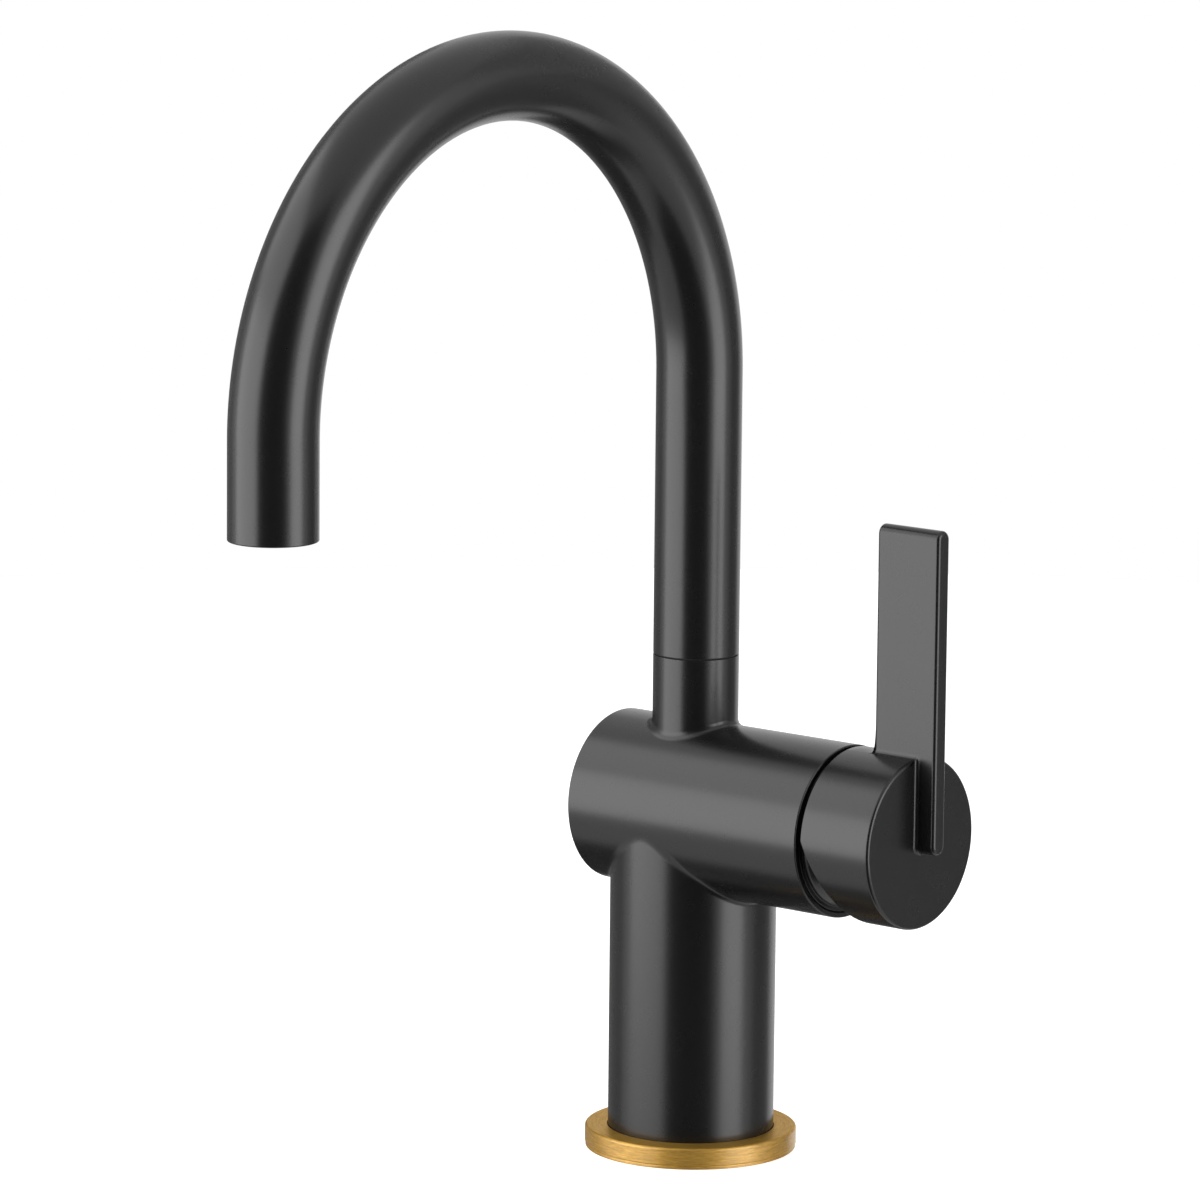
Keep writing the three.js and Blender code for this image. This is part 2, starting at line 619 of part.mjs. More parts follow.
// The moving disc and its slider start below the axis, which is +X in the barrel's frame.
function movingDisc() {
  const disc = rod(discRadius, movingFoot, movingFront, TUBE_ROUND);
  const chamberTop = movingFoot + CHAMBER_DEPTH;
  const chamber = rod(discRadius - DISC_RIM, movingFoot - PAST, chamberTop, SMALL_ROUND);
  return moved(cut(disc, chamber), discRest, 0, 0);
}

function discSlider() {
  const foot = movingFront + SEAT;
  const top = sliderFront + PAST;
  const body = rod(discRadius, foot, sliderFront, TUBE_ROUND);
  const flats = block([-discRadius, -sliderHalf, foot - PAST], [discRadius, sliderHalf, top]);
  const socketRadius = STEM_BALL_RADIUS + FIT;
  const socket = rod(socketRadius, ballX - socketRadius - FIT, top, SMALL_ROUND);
  return moved(cut(body.intersect(flats), socket), discRest, 0, 0);
}

// A rod across the barrel at the pivot, in the barrel's frame.
function acrossPivot(radius, half) {
  const geometry = geometryOf(rod(radius, -half, half, HOLE_ROUND));
  return solidOf(geometry.rotateX(Math.PI / 2).translate(0, 0, pivotX));
}

// The guide turns in the housing, holds the stem's pin and keeps the slider square to it.
function stemGuide() {
  const disc = rod(stackRadius, guideFoot, guideStep, CARTRIDGE_ROUND);
  const neck = rod(GUIDE_NECK_RADIUS, guideFoot, guideFront, POST_ROUND);
  const across = stemCollar + FIT;
  const along = across + STEM_COLLAR + FIT; // leaves room for the stem to tilt
  const slot = block([-along, -across, guideFoot - PAST], [along, across, guideFront + PAST]);
  const lugFoot = movingFront + PAST;
  const lugs = [-1, 1].map((side) => {
    const [near, far] = [FIT, FIT + LUG_THICKNESS].map((gap) => side * (sliderHalf + gap));
    const low = [-LUG_WIDTH / 2, Math.min(near, far), lugFoot];
    return block(low, [LUG_WIDTH / 2, Math.max(near, far), guideFoot + PAST]);
  });
  const room = rod(stackRadius, lugFoot, guideFoot + PAST, CARTRIDGE_ROUND);
  const pinHole = acrossPivot(STEM_PIN_RADIUS + SEAT, GUIDE_NECK_RADIUS + PAST);
  return cut(join(disc, neck, join(...lugs).intersect(room)), slot, pinHole);
}

function cartridgeHousing() {
  const bore = GUIDE_NECK_RADIUS + FIT;
  const step = guideStep + FIT;
  const front = guideFront - CARTRIDGE_NECK_DROP;
  const foot = [[cavityRadius, baseFoot], [cartridgeRadius, baseFoot]];
  const shoulder = [[cartridgeRadius, cartridgeShoulder], [cartridgeNeck, cartridgeShoulder]];
  const neck = [[cartridgeNeck, front], [bore, front]];
  return turnedRing([...foot, ...shoulder, ...neck, [bore, step], [cavityRadius, step]]);
}

place("fixed_ceramic_disc", fixedDisc(), ceramic(), barrel);
place("moving_ceramic_disc", movingDisc(), ceramic(), barrel);
place("disc_slider", discSlider(), greyPlastic(), barrel);
place("stem_guide", stemGuide(), greyPlastic(), barrel);
place("stem_pin", acrossPivot(STEM_PIN_RADIUS, GUIDE_NECK_RADIUS - FIT), steel(), barrel);
place("cartridge_housing", cartridgeHousing(), greyPlastic(), barrel);

// ---- Nut and bonnet that close the barrel ----

const hubRadius = BARREL_RADIUS - HUB_INSET;
const hubBore = hubRadius - HUB_WALL;
const hubBack = BARREL_FRONT + HUB_GAP;
const hubFront = hubBack + HUB_LENGTH;
const bonnetSleeve = hubBore - BONNET_GAP;
const bonnetBore = bonnetSleeve - BONNET_SLEEVE_WALL;
const noseRadius = bonnetBore - FIT;
const bonnetSealX = nutFront + BONNET_SEAL_RISE;

function cartridgeNut() {
  const foot = cartridgeShoulder + FIT;
  const bore = cartridgeNeck + FIT;
  const noseFront = pivotX + NUT_NOSE_RISE;
  const thread = [[bore, foot], [nutRadius, foot], [nutRadius, nutFront]];
  const nose = [[noseRadius, nutFront], [noseRadius, noseFront], [bore, noseFront]];
  const [low, high] = [bonnetSealX - BONNET_SEAL_HALF, bonnetSealX + BONNET_SEAL_HALF];
  const sealGroove = groove(noseRadius, BONNET_SEAL_DEPTH, low, high, CARTRIDGE_ROUND);
  return cut(turnedRing([...thread, ...nose], CARTRIDGE_ROUND), sealGroove);
}

// Corners of an arc about the pivot, from one distance off the axis to another.
function domeArc(radius, from, to, steps) {
  const [start, end] = [Math.asin(from / radius), Math.asin(to / radius)];
  return Array.from({ length: steps + 1 }, (_, i) => {
    const angle = THREE.MathUtils.lerp(start, end, i / steps);
    return [radius * Math.sin(angle), pivotX + radius * Math.cos(angle)];
  });
}

// The dome is part of a ball about the pivot, and clears the hub's rim as the lever tilts.
function bonnet() {
  const domeRadius = Math.hypot(hubBack - pivotX, hubBore) - FIT;
  const flange = shellBore - SEAT;
  const foot = valveFront + FIT;
  const inner = [[bonnetBore, foot], [flange, foot]];
  const rim = [[flange, BARREL_FRONT], [bonnetSleeve, BARREL_FRONT]];
  const outside = domeArc(domeRadius, bonnetSleeve, BONNET_HOLE_RADIUS, 5);
  const inside = domeArc(domeRadius - BONNET_DOME_WALL, BONNET_HOLE_RADIUS, bonnetBore, 3);
  return turnedRing([...inner, ...rim, ...outside, ...inside]);
}

const bonnetSealInner = noseRadius - BONNET_SEAL_DEPTH + SEAT;
const bonnetSeal = sealRing(bonnetSealInner, noseRadius + SEAT, bonnetSealX, POST_ROUND);
place("cartridge_nut", cartridgeNut(), brass(), barrel);
place("bonnet_seal", bonnetSeal, rubber(), barrel);
place("bonnet", bonnet(), black(), barrel);

// ---- Handle: hub and lever in one casting ----

const stemLength = (hubFront - pivotX - STEM_COVER) / Math.cos(stemRest);
const screwX = hubFront - SCREW_SETBACK;
const stemAxisAt = (x) => BARREL_Z + (x - pivotX) * Math.tan(stemRest);
const screwTop = stemAxisAt(screwX - SCREW_RADIUS) - STEM_SIZE / 2 / Math.cos(stemRest) - SEAT;

// A stadium across the lever, with its edges cut off, that runs from the lever's back to its front.
function leverBlade() {
  const half = LEVER_THICKNESS / 2;
  const radius = half - LEVER_EDGE;
  const outline = new THREE.Shape().absarc(0, LEVER_TOP_Z - half, radius, 0, Math.PI);
  outline.absarc(0, BARREL_Z, radius, Math.PI, 2 * Math.PI);
  const options = { depth: LEVER_DEPTH - 2 * LEVER_EDGE, curveSegments: 5 };
  const bevel = { bevelSegments: 1, bevelSize: LEVER_EDGE, bevelThickness: LEVER_EDGE };
  const geometry = new THREE.ExtrudeGeometry(outline, { ...options, ...bevel });
  // From the drawing plane, whose x runs across and y up, to the faucet's frame.
  const turn = new THREE.Matrix4().makeBasis(
    new THREE.Vector3(0, 1, 0),
    new THREE.Vector3(0, 0, 1),
    new THREE.Vector3(1, 0, 0),
  );
  const back = hubFront + LEVER_PROUD - LEVER_DEPTH;
  return solidOf(geometry.applyMatrix4(turn).translate(back + LEVER_EDGE, 0, 0));
}

function bevelCut() {
  const reach = 3 * hubRadius;
  const wedge = new THREE.BoxGeometry(reach, 2 * reach, reach).translate(-reach / 2, 0, -reach / 2);
  wedge.rotateY((-BEVEL_ANGLE * Math.PI) / 180);
  return solidOf(wedge.translate(hubBack, 0, BARREL_Z + BEVEL_RISE));
}

// A solid made about the pivot along +Z, turned to the stem's line at rest.
function alongStem(solid) {
  const geometry = geometryOf(solid).rotateY(Math.PI / 2 - stemRest);
  return solidOf(geometry.translate(pivotX, 0, BARREL_Z));
}

function handle() {
  const hub = alongBarrel(rod(hubRadius, hubBack, hubFront, ROUND, EDGE));
  const cavity = alongBarrel(rod(hubBore, hubBack - PAST, hubFront - HUB_FRONT_WALL));
  const half = STEM_SIZE / 2 + FIT;
  const socket = alongStem(block([-half, -half, 0], [half, half, stemLength + FIT]));
  const hole = rod(SCREW_RADIUS + FIT, BARREL_Z - hubRadius - PAST, screwTop + PAST, HOLE_ROUND);
  return cut(join(hub, leverBlade()), cavity, bevelCut(), socket, moved(hole, screwX, 0, 0));
}

function controlStem() {
  const ball = [-90, -50, 0, 50].map((degrees) => {
    const angle = (degrees * Math.PI) / 180;
    return [STEM_BALL_RADIUS * Math.cos(angle), STEM_BALL_RADIUS * Math.sin(angle) - STEM_ARM];
  });
  const end = COLLAR_HALF + STEM_CHAMFER;
  const collar = [[STEM_NECK_RADIUS, -end], [stemCollar, -COLLAR_HALF], [stemCollar, COLLAR_HALF]];
  const shank = turned([...ball, ...collar, [stemCollar - STEM_CHAMFER, end], [0, end]], SMALL_ROUND);
  const half = STEM_SIZE / 2;
  const square = block([-half, -half, COLLAR_HALF], [half, half, stemLength]);
  const reach = stemCollar + PAST;
  const pinHole = geometryOf(rod(STEM_PIN_RADIUS + FIT, -reach, reach, HOLE_ROUND)).rotateX(Math.PI / 2);
  return alongStem(cut(join(shank, square), solidOf(pinHole)));
}

function setScrew() {
  const foot = BARREL_Z - hubRadius + SCREW_RECESS;
  const body = rod(SCREW_RADIUS, foot, screwTop, HOLE_ROUND);
  return moved(cut(body, rod(KEY_RADIUS, foot - PAST, foot + KEY_DEPTH, HEXAGON)), screwX, 0, 0);
}

function screwPlug() {
  const foot = BARREL_Z - hubRadius + PLUG_SETBACK;
  return moved(rod(SCREW_RADIUS, foot, foot + PLUG_HEIGHT, HOLE_ROUND), screwX, 0, 0);
}

// The pieces of the lever are drawn in the faucet's frame and hung from the pivot.
function placeOnLever(name, solid, material) {
  place(name, moved(solid, -pivotX, 0, -BARREL_Z), material, lever);
}

placeOnLever("handle", handle(), black());
placeOnLever("control_stem", controlStem(), steel());
placeOnLever("handle_set_screw", setScrew(), steel());
placeOnLever("set_screw_plug", screwPlug(), rubber());

export default faucet;
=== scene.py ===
"""A gooseneck bar faucet in satin black, with a brushed gold ring at its base.

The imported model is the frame. The pieces that show are finely made meshes in place of its solids,
and the pieces inside keep their solids. Sizes are in millimetres, and become metres in each mesh.
"""

import itertools
import json
import math

import bmesh
import bpy
from mathutils import Matrix, Vector


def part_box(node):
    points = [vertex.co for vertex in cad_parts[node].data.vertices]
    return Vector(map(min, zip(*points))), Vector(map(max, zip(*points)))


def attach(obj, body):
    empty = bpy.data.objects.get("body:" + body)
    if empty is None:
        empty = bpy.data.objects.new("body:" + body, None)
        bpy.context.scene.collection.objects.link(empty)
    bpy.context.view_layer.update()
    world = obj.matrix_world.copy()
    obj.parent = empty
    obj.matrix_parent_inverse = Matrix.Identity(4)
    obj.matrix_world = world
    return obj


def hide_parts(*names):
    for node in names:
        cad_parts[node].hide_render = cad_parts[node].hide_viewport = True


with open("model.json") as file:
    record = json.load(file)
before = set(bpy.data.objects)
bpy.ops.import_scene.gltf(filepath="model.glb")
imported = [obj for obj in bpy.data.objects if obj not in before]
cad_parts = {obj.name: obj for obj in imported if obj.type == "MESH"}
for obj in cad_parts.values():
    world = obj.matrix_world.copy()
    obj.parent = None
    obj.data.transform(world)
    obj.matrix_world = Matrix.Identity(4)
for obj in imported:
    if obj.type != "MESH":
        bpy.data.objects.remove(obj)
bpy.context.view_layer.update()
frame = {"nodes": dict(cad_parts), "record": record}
nodes = frame["nodes"]

MM = 0.001
X, Y, Z = Vector((1, 0, 0)), Vector((0, 1, 0)), Vector((0, 0, 1))


def low(node, axis):
    """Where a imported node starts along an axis, in millimetres."""
    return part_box(node)[0][axis] / MM


def high(node, axis):
    """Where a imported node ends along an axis, in millimetres."""
    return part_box(node)[1][axis] / MM


# ---- Sizes, in millimetres ----

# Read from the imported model
RING_RADIUS = high("deck_ring", 0)
RING_HEIGHT = high("deck_ring", 2)
BARREL_RADIUS = high("body_shell", 1)
BARREL_BACK = low("body_shell", 0)
BARREL_FRONT = high("body_shell", 0)
COLUMN_FOOT = low("body_shell", 2)
NECK_TOP = high("body_shell", 2)
SPOUT_FOOT = low("spout_tube", 2)
TUBE_RADIUS = high("spout_tube", 0)
BEND_RADIUS = -(low("spout_tube", 1) + TUBE_RADIUS) / 2
BEND_Z = high("spout_tube", 2) - TUBE_RADIUS - BEND_RADIUS
HUB_RADIUS = high("handle", 1)
HUB_BACK = low("handle", 0)
BARREL_Z = low("handle", 2) + HUB_RADIUS
LEVER_FRONT = high("handle", 0)
LEVER_TOP = high("handle", 2)

# The same as in the part's source
RING_BORE = 17.9
RING_LIP = 2.4
RING_RECESS = 21.75
COLUMN_RADIUS = 21.6
COLUMN_BORE = 19.5
BARREL_BORE = 20.75
BARREL_WALL = 3  # at its closed end
BARREL_INNER_BACK = BARREL_BACK + BARREL_WALL
NECK_BORE = 9.0
TUBE_BORE = 9.6
SPOUT_DROP = 24.2  # from the end of its bend to the outlet
OUTLET_Z = BEND_Z - SPOUT_DROP
PIVOT_DEPTH = 8.3  # of the stem's pin in the barrel
PIVOT_X = BARREL_FRONT - PIVOT_DEPTH
HUB_BORE = 19.9
HUB_LENGTH = 21.5
HUB_FRONT = HUB_BACK + HUB_LENGTH
HUB_WALL = 8.3  # at its front
HUB_CAVITY = HUB_FRONT - HUB_WALL
BEVEL_SLOPE = math.tan(math.radians(23.7))  # of the slanted cut across the hub's back
BEVEL_RISE = 1.2  # how far above the barrel's axis the cut starts
LEVER_HALF = 2.4  # half its thickness
LEVER_WIDTH = 19.3
LEVER_BACK = LEVER_FRONT - LEVER_WIDTH
STEM_SIZE = 7.4
STEM_LENGTH = 28.52
STEM_REST = 11  # degrees above the barrel's axis
SCREW_DEPTH = 5.1  # behind the hub's front
SCREW_X = HUB_FRONT - SCREW_DEPTH
SCREW_HOLE = 2.8  # its radius

# Roundings, which the solids don't have
NECK_REACH = 1.7  # how far the neck's fillet reaches from the corner it fills
COLUMN_REACH = 1.4
COLUMN_EDGE = 0.25  # at its foot
LEVER_FILLET = 1.1  # round the lever's foot on the hub
EDGE = 0.4  # of the barrel's two ends
SEAM_EDGE = 0.12  # on both sides of the seam under the spout
HUB_EDGE = 0.9
BACK_EDGE = 0.3  # of the hub's back
LEVER_EDGE = 1.0


# ---- Meshes ----

WELD = 0.001  # two points this close, in millimetres, are one
CREASE_ANGLE = 23  # between two faces, in degrees, over which an edge is sharp
ROUND_STEPS = 5  # of a rounding in an outline


class Skin:
    """Collects the points, normals and faces of one piece. Two points at one place are one."""

    def __init__(self):
        self.points = []
        self.normals = []
        self.faces = []
        self.index = {}

    def point(self, place, normal=Z):
        cells = [{round(c / WELD - 0.25), round(c / WELD + 0.25)} for c in place]
        keys = list(itertools.product(*cells))
        for key in keys:
            if key in self.index:
                return self.index[key]
        self.index.update(dict.fromkeys(keys, len(self.points)))
        self.points.append(Vector(place))
        self.normals.append(Vector(normal).normalized())
        return len(self.points) - 1

    def face(self, corners):
        corners = list(dict.fromkeys(corners))
        if len(corners) > 2:
            self.faces.append(corners)

    def rows(self, rows):
        """Quads between rows of (place, normal), each closed on itself."""
        indices = [[self.point(*sample) for sample in row] for row in rows]
        for one, two in zip(indices, indices[1:]):
            count = len(one)
            for i in range(count):
                j = (i + 1) % count
                self.face((one[i], one[j], two[j], two[i]))

    def cap(self, row):
        self.face([self.point(*sample) for sample in row])

    def mesh(self, name):
        made = bpy.data.meshes.new(name)
        made.from_pydata([point * MM for point in self.points], [], self.faces)
        return made

    def piece(self, name):
        """The finished object, shaded by the normals that its points were given."""
        mesh = self.mesh(name)
        outward(mesh)
        mesh.shade_smooth()
        mesh.normals_split_custom_set_from_vertices(self.normals)
        made = bpy.data.objects.new(name, mesh)
        bpy.context.scene.collection.objects.link(made)
        return made


def face_shaded(name, mesh):
    """The finished object of a closed mesh, shaded by its faces, the larger ones first."""
    outward(mesh, WELD)
    mesh.name = name
    mesh.shade_smooth()
    mesh.set_sharp_from_angle(angle=math.radians(CREASE_ANGLE))
    made = bpy.data.objects.new(name, mesh)
    bpy.context.scene.collection.objects.link(made)
    made.modifiers.new("normals", "WEIGHTED_NORMAL").keep_sharp = True
    return made


def outward(mesh, speck=0):
    """Turns the faces of a closed mesh outward, and takes out those smaller than a speck."""
    work = bmesh.new()
    work.from_mesh(mesh)
    if speck:
        bmesh.ops.dissolve_degenerate(work, dist=speck * MM, edges=work.edges)
    bmesh.ops.recalc_face_normals(work, faces=work.faces)
    work.to_mesh(mesh)
    work.free()


def around(angle, first=X, second=Y):
    """The direction at an angle from the first direction, towards the second."""
    return first * math.cos(angle) + second * math.sin(angle)


def quarter(steps):
    """The angles of a quarter turn."""
    return [math.pi / 2 * step / steps for step in range(steps + 1)]


def rounded(corners, steps=ROUND_STEPS):
    """A closed outline of (radius, height, and its normal's two parts) from corners of (radius,
    height, rounding), counterclockwise."""
    outline = []
    for i, (radius, height, rounding) in enumerate(corners):
        here = Vector((radius, height))
        into = (here - Vector(corners[i - 1][:2])).normalized()
        out = (Vector(corners[(i + 1) % len(corners)][:2]) - here).normalized()
        bend = math.atan2(into.x * out.y - into.y * out.x, into.dot(out))
        reach = rounding * math.tan(abs(bend) / 2)
        side = 1 if bend > 0 else -1
        normal = Vector((into.y, -into.x))
        centre = here - into * reach - normal * rounding * side
        for step in range(steps + 1):
            turn = bend * step / steps
            facing = Vector((
                normal.x * math.cos(turn) - normal.y * math.sin(turn),
                normal.x * math.sin(turn) + normal.y * math.cos(turn),
            ))
            at = centre + facing * rounding * side
            outline.append((at.x, at.y, facing.x, facing.y))
    return outline


def arc(middle, radius, start, end, steps, side=1):
    """Outline points on an arc about (0, middle), by angle from the axis; side -1 is its inside."""
    points = []
    for step in range(steps + 1):
        angle = math.radians(start + (end - start) * step / steps)
        across, along = math.sin(angle), math.cos(angle)
        points.append((radius * across, middle + radius * along, side * across, side * along))
    return points


def subdivided(outline, longest):
    """The closed outline with its long stretches divided."""
    fine = []
    for here, there in zip(outline, outline[1:] + outline[:1]):
        length = math.hypot(there[0] - here[0], there[1] - here[1])
        parts = max(1, math.ceil(length / longest))
        for part in range(parts):
            fine.append(tuple(a + (b - a) * part / parts for a, b in zip(here, there)))
    return fine


def upright(height):
    return Z * height, X, Y, Z


def along_barrel(distance):
    return X * distance + Z * BARREL_Z, Y, Z, X


def in_outlet(height):
    return Vector((0, -2 * BEND_RADIUS, OUTLET_Z + height)), X, Y, Z


def along_spout(distance):
    """The spout's middle at a distance from its foot: up, half a turn and down."""
    rise = BEND_Z - SPOUT_FOOT
    angle = min(max((distance - rise) / BEND_RADIUS, 0), math.pi)
    outwards = Vector((0, math.cos(angle), math.sin(angle)))
    onwards = Vector((0, -math.sin(angle), math.cos(angle)))
    centre = Vector((0, -BEND_RADIUS, BEND_Z)) + outwards * BEND_RADIUS
    centre += onwards * (distance - rise - angle * BEND_RADIUS)
    return centre, X, outwards, onwards


def add_turned(skin, outline, placed, sides):
    """Adds a ring turned from a closed outline round an axis, which may be a curve."""
    rows = []
    for radius, height, across, along in outline:
        centre, first, second, onwards = placed(height)
        row = []
        for side in range(sides):
            spoke = around(2 * math.pi * side / sides, first, second)
            row.append((centre + spoke * radius, spoke * across + onwards * along))
        rows.append(row)
    skin.rows(rows + rows[:1])


def turned(name, outline, placed=upright, sides=128):
    skin = Skin()
    add_turned(skin, outline, placed, sides)
    return skin.piece(name)


# ---- Ring at the base ----


def make_ring():
    line_z, line_depth = 0.85, 0.12  # the fine line turned near the foot of its side
    foot_radius = RING_RADIUS - 0.15
    corners = [
        (RING_BORE, 0, 0.2),
        (foot_radius, 0, 0.15),
        (foot_radius, line_z - 0.3, 0.05),
        (foot_radius - line_depth, line_z, 0.05),
        (RING_RADIUS, line_z + 0.25, 0.1),
        (RING_RADIUS, RING_HEIGHT, 0.7),
        (RING_RECESS, RING_HEIGHT, 0.1),
        (RING_RECESS, RING_LIP, 0.1),
        (RING_BORE, RING_LIP, 0.2),
    ]
    ring = turned("base_ring", rounded(corners), sides=180)
    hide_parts("deck_ring")
    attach(ring, "base")
    return ring


# ---- Body casting ----

END_STEPS = 48  # along half of the barrel's rim
SEAM_STEPS = 56  # along the barrel
BARREL_STEPS = 15  # from an upright's foot out over the barrel
BARREL_SPREAD = 1.4  # above 1, those steps are shorter near the upright
FILLET_STEPS = 8
UPRIGHT_STEPS = 4
RIM_STEPS = 4
HALVINGS = 40  # of the range in a search


def edge_samples(back, front, half_girth):
    """Points round the edge of half the barrel, unrolled, from the middle of its front end."""
    quarter = END_STEPS // 2
    samples = [(front, half_girth * i / quarter) for i in range(quarter)]
    samples += [(front + (back - front) * i / SEAM_STEPS, half_girth) for i in range(SEAM_STEPS)]
    samples += [(back, half_girth * (1 - i / quarter)) for i in range(END_STEPS)]
    samples += [(back + (front - back) * i / SEAM_STEPS, -half_girth) for i in range(SEAM_STEPS)]
    samples += [(front, -half_girth * (1 - i / quarter)) for i in range(quarter)]
    return samples


class Junction:
    """An upright round on the barrel, with the ball that rolls round their corner."""

    def __init__(self, barrel_radius, radius, reach, way):
        self.barrel_radius = barrel_radius
        self.radius = radius
        self.reach = reach
        self.way = way  # 1 for the neck, above the barrel, and -1 for the column, below

    def ball_radius(self, angle):
        """Larger where the surfaces meet at a small angle, so that the fillet stays as wide."""
        bend = math.acos(self.radius * math.sin(angle) ** 2 / self.barrel_radius)
        return self.reach / math.tan(bend / 2)

    def ball(self, angle):
        """The ball's middle, and where it touches the upright and the barrel."""
        ball_radius = self.ball_radius(angle)
        out = self.radius + ball_radius
        across = out * math.sin(angle)
        height = self.way * math.sqrt((self.barrel_radius + ball_radius) ** 2 - across**2)
        middle = Vector((out * math.cos(angle), across, height))
        on_upright = around(angle) * self.radius + Z * height
        share = self.barrel_radius / (self.barrel_radius + ball_radius)
        return middle, on_upright, Vector((middle.x, middle.y * share, height * share))

    def unrolled(self, angle):
        """Where the ball touches the barrel, unrolled from the line over or under its axis."""
        touch = self.ball(angle)[2]
        return touch.x, self.barrel_radius * math.atan2(touch.y, self.way * touch.z)

    def angle_towards(self, direction):
        """The angle round the upright at which the unrolled foot lies in a direction."""
        sign = 1 if direction >= 0 else -1
        lowest, highest = 0.0, math.pi
        for _ in range(HALVINGS):
            middle = (lowest + highest) / 2
            x, y = self.unrolled(middle)
            if math.atan2(y, x) < abs(direction):
                lowest = middle
            else:
                highest = middle
        return sign * (lowest + highest) / 2

    def barrel_rows(self, edges, angles, side):
        """Rows over the barrel from the foot of the upright to the edge samples."""
        rows = []
        for step in range(BARREL_STEPS + 1):
            share = (step / BARREL_STEPS) ** BARREL_SPREAD
            row = []
            for (x1, y1), angle in zip(edges, angles):
                x0, y0 = self.unrolled(angle)
                roll = (y0 + (y1 - y0) * share) / self.barrel_radius
                spoke = Vector((0, math.sin(roll), self.way * math.cos(roll)))
                place = X * (x0 + (x1 - x0) * share) + spoke * self.barrel_radius
                row.append((place + Z * BARREL_Z, spoke * side))
            rows.append(row)
        return rows

    def fillet_rows(self, angles):
        """Rows over the fillet, from the upright to the barrel."""
        rows = []
        for step in range(FILLET_STEPS + 1):
            row = []
            for angle in angles:
                middle, on_upright, on_barrel = self.ball(angle)
                spoke = (on_upright - middle).slerp(on_barrel - middle, step / FILLET_STEPS)
                spoke = spoke.normalized() * self.ball_radius(angle)
                row.append((middle + spoke + Z * BARREL_Z, -spoke))
            rows.append(row)
        return rows

    def upright_rows(self, angles, end, side):
        """Rows up or down the upright from its foot to a height."""
        rows = []
        for step in range(UPRIGHT_STEPS + 1):
            row = []
            for angle in angles:
                spoke = around(angle)
                foot = self.ball(angle)[1].z + BARREL_Z
                height = foot + (end - foot) * step / UPRIGHT_STEPS
                row.append((spoke * self.radius + Z * height, spoke * side))
            rows.append(row)
        return rows


def rim_rows(outer_angles, inner_angles, outer, inner, end, way, edge):
    """Rows over the rounded end of a wall, from its outside to its inside."""
    rows = []
    for radius, angles, side in ((outer, outer_angles, 1), (inner, inner_angles, -1)):
        half = []
        for turn in quarter(RIM_STEPS):
            row = []
            for angle in angles:
                spoke = around(angle)
                normal = spoke * side * math.cos(turn) + Z * way * math.sin(turn)
                corner = spoke * (radius - side * edge) + Z * (end - way * edge)
                row.append((corner + normal * edge, normal))
            half.append(row)
        rows += half if side > 0 else half[::-1]
    return rows


def barrel_rim_rows(profile):
    """Rows about the barrel's axis from points of (radius, x, normal across, normal along)."""
    rows = []
    for radius, x, across, along in profile:
        row = []
        for i in range(2 * END_STEPS):
            roll = math.pi * i / END_STEPS
            spoke = Vector((0, math.sin(roll), math.cos(roll)))
            row.append((X * x + spoke * radius + Z * BARREL_Z, spoke * across + X * along))
        rows.append(row)
    return rows


def quarter_turn(radius, x, way, side):
    """Points round the barrel's edge, from its wall (side 1 outside, -1 inside) to its end."""
    points = []
    for turn in quarter(RIM_STEPS):
        across, along = side * math.cos(turn), way * math.sin(turn)
        points.append((
            radius - side * EDGE + across * EDGE,
            x - way * EDGE + along * EDGE,
            across,
            along,
        ))
    return points


def make_body():
    skin = Skin()
    ends = {1: (NECK_TOP, SEAM_EDGE), -1: (COLUMN_FOOT, COLUMN_EDGE)}
    outer_rounds = {1: (TUBE_RADIUS, NECK_REACH), -1: (COLUMN_RADIUS, COLUMN_REACH)}
    inner_rounds = {1: (NECK_BORE, 0), -1: (COLUMN_BORE, 0)}
    surfaces = (
        (1, BARREL_RADIUS, BARREL_BACK, outer_rounds),
        (-1, BARREL_BORE, BARREL_INNER_BACK, inner_rounds),
    )
    uprights = {}
    for side, barrel_radius, back, rounds in surfaces:
        edges = edge_samples(back + EDGE, BARREL_FRONT - EDGE, barrel_radius * math.pi / 2)
        for way, (radius, reach) in rounds.items():
            junction = Junction(barrel_radius, radius, reach, way)
            angles = [junction.angle_towards(math.atan2(y, x)) for x, y in edges]
            end, edge = ends[way]
            skin.rows(junction.barrel_rows(edges, angles, side))
            if reach:
                skin.rows(junction.fillet_rows(angles))
            skin.rows(junction.upright_rows(angles, end - way * edge, side))
            uprights[way, side] = radius, angles
    for way, (end, edge) in ends.items():
        (outer, outer_angles), (inner, inner_angles) = uprights[way, 1], uprights[way, -1]
        skin.rows(rim_rows(outer_angles, inner_angles, outer, inner, end, way, edge))
    front_edge = quarter_turn(BARREL_RADIUS, BARREL_FRONT, 1, 1)
    bore_edge = quarter_turn(BARREL_BORE, BARREL_FRONT, 1, -1)
    skin.rows(barrel_rim_rows(front_edge + bore_edge[::-1]))
    closed_end = quarter_turn(BARREL_RADIUS, BARREL_BACK, -1, 1)
    closed_end.append((BARREL_RADIUS / 2, BARREL_BACK, 0, -1))
    inner_end = quarter_turn(BARREL_BORE, BARREL_INNER_BACK, -1, 1)
    inner_end = [(*place, -across, -along) for *place, across, along in inner_end]
    for profile in (closed_end, inner_end):
        end_rows = barrel_rim_rows(profile)
        skin.rows(end_rows)
        skin.cap(end_rows[-1])
    body = skin.piece("body_casting")
    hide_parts("body_shell")
    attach(body, "base")
    return body


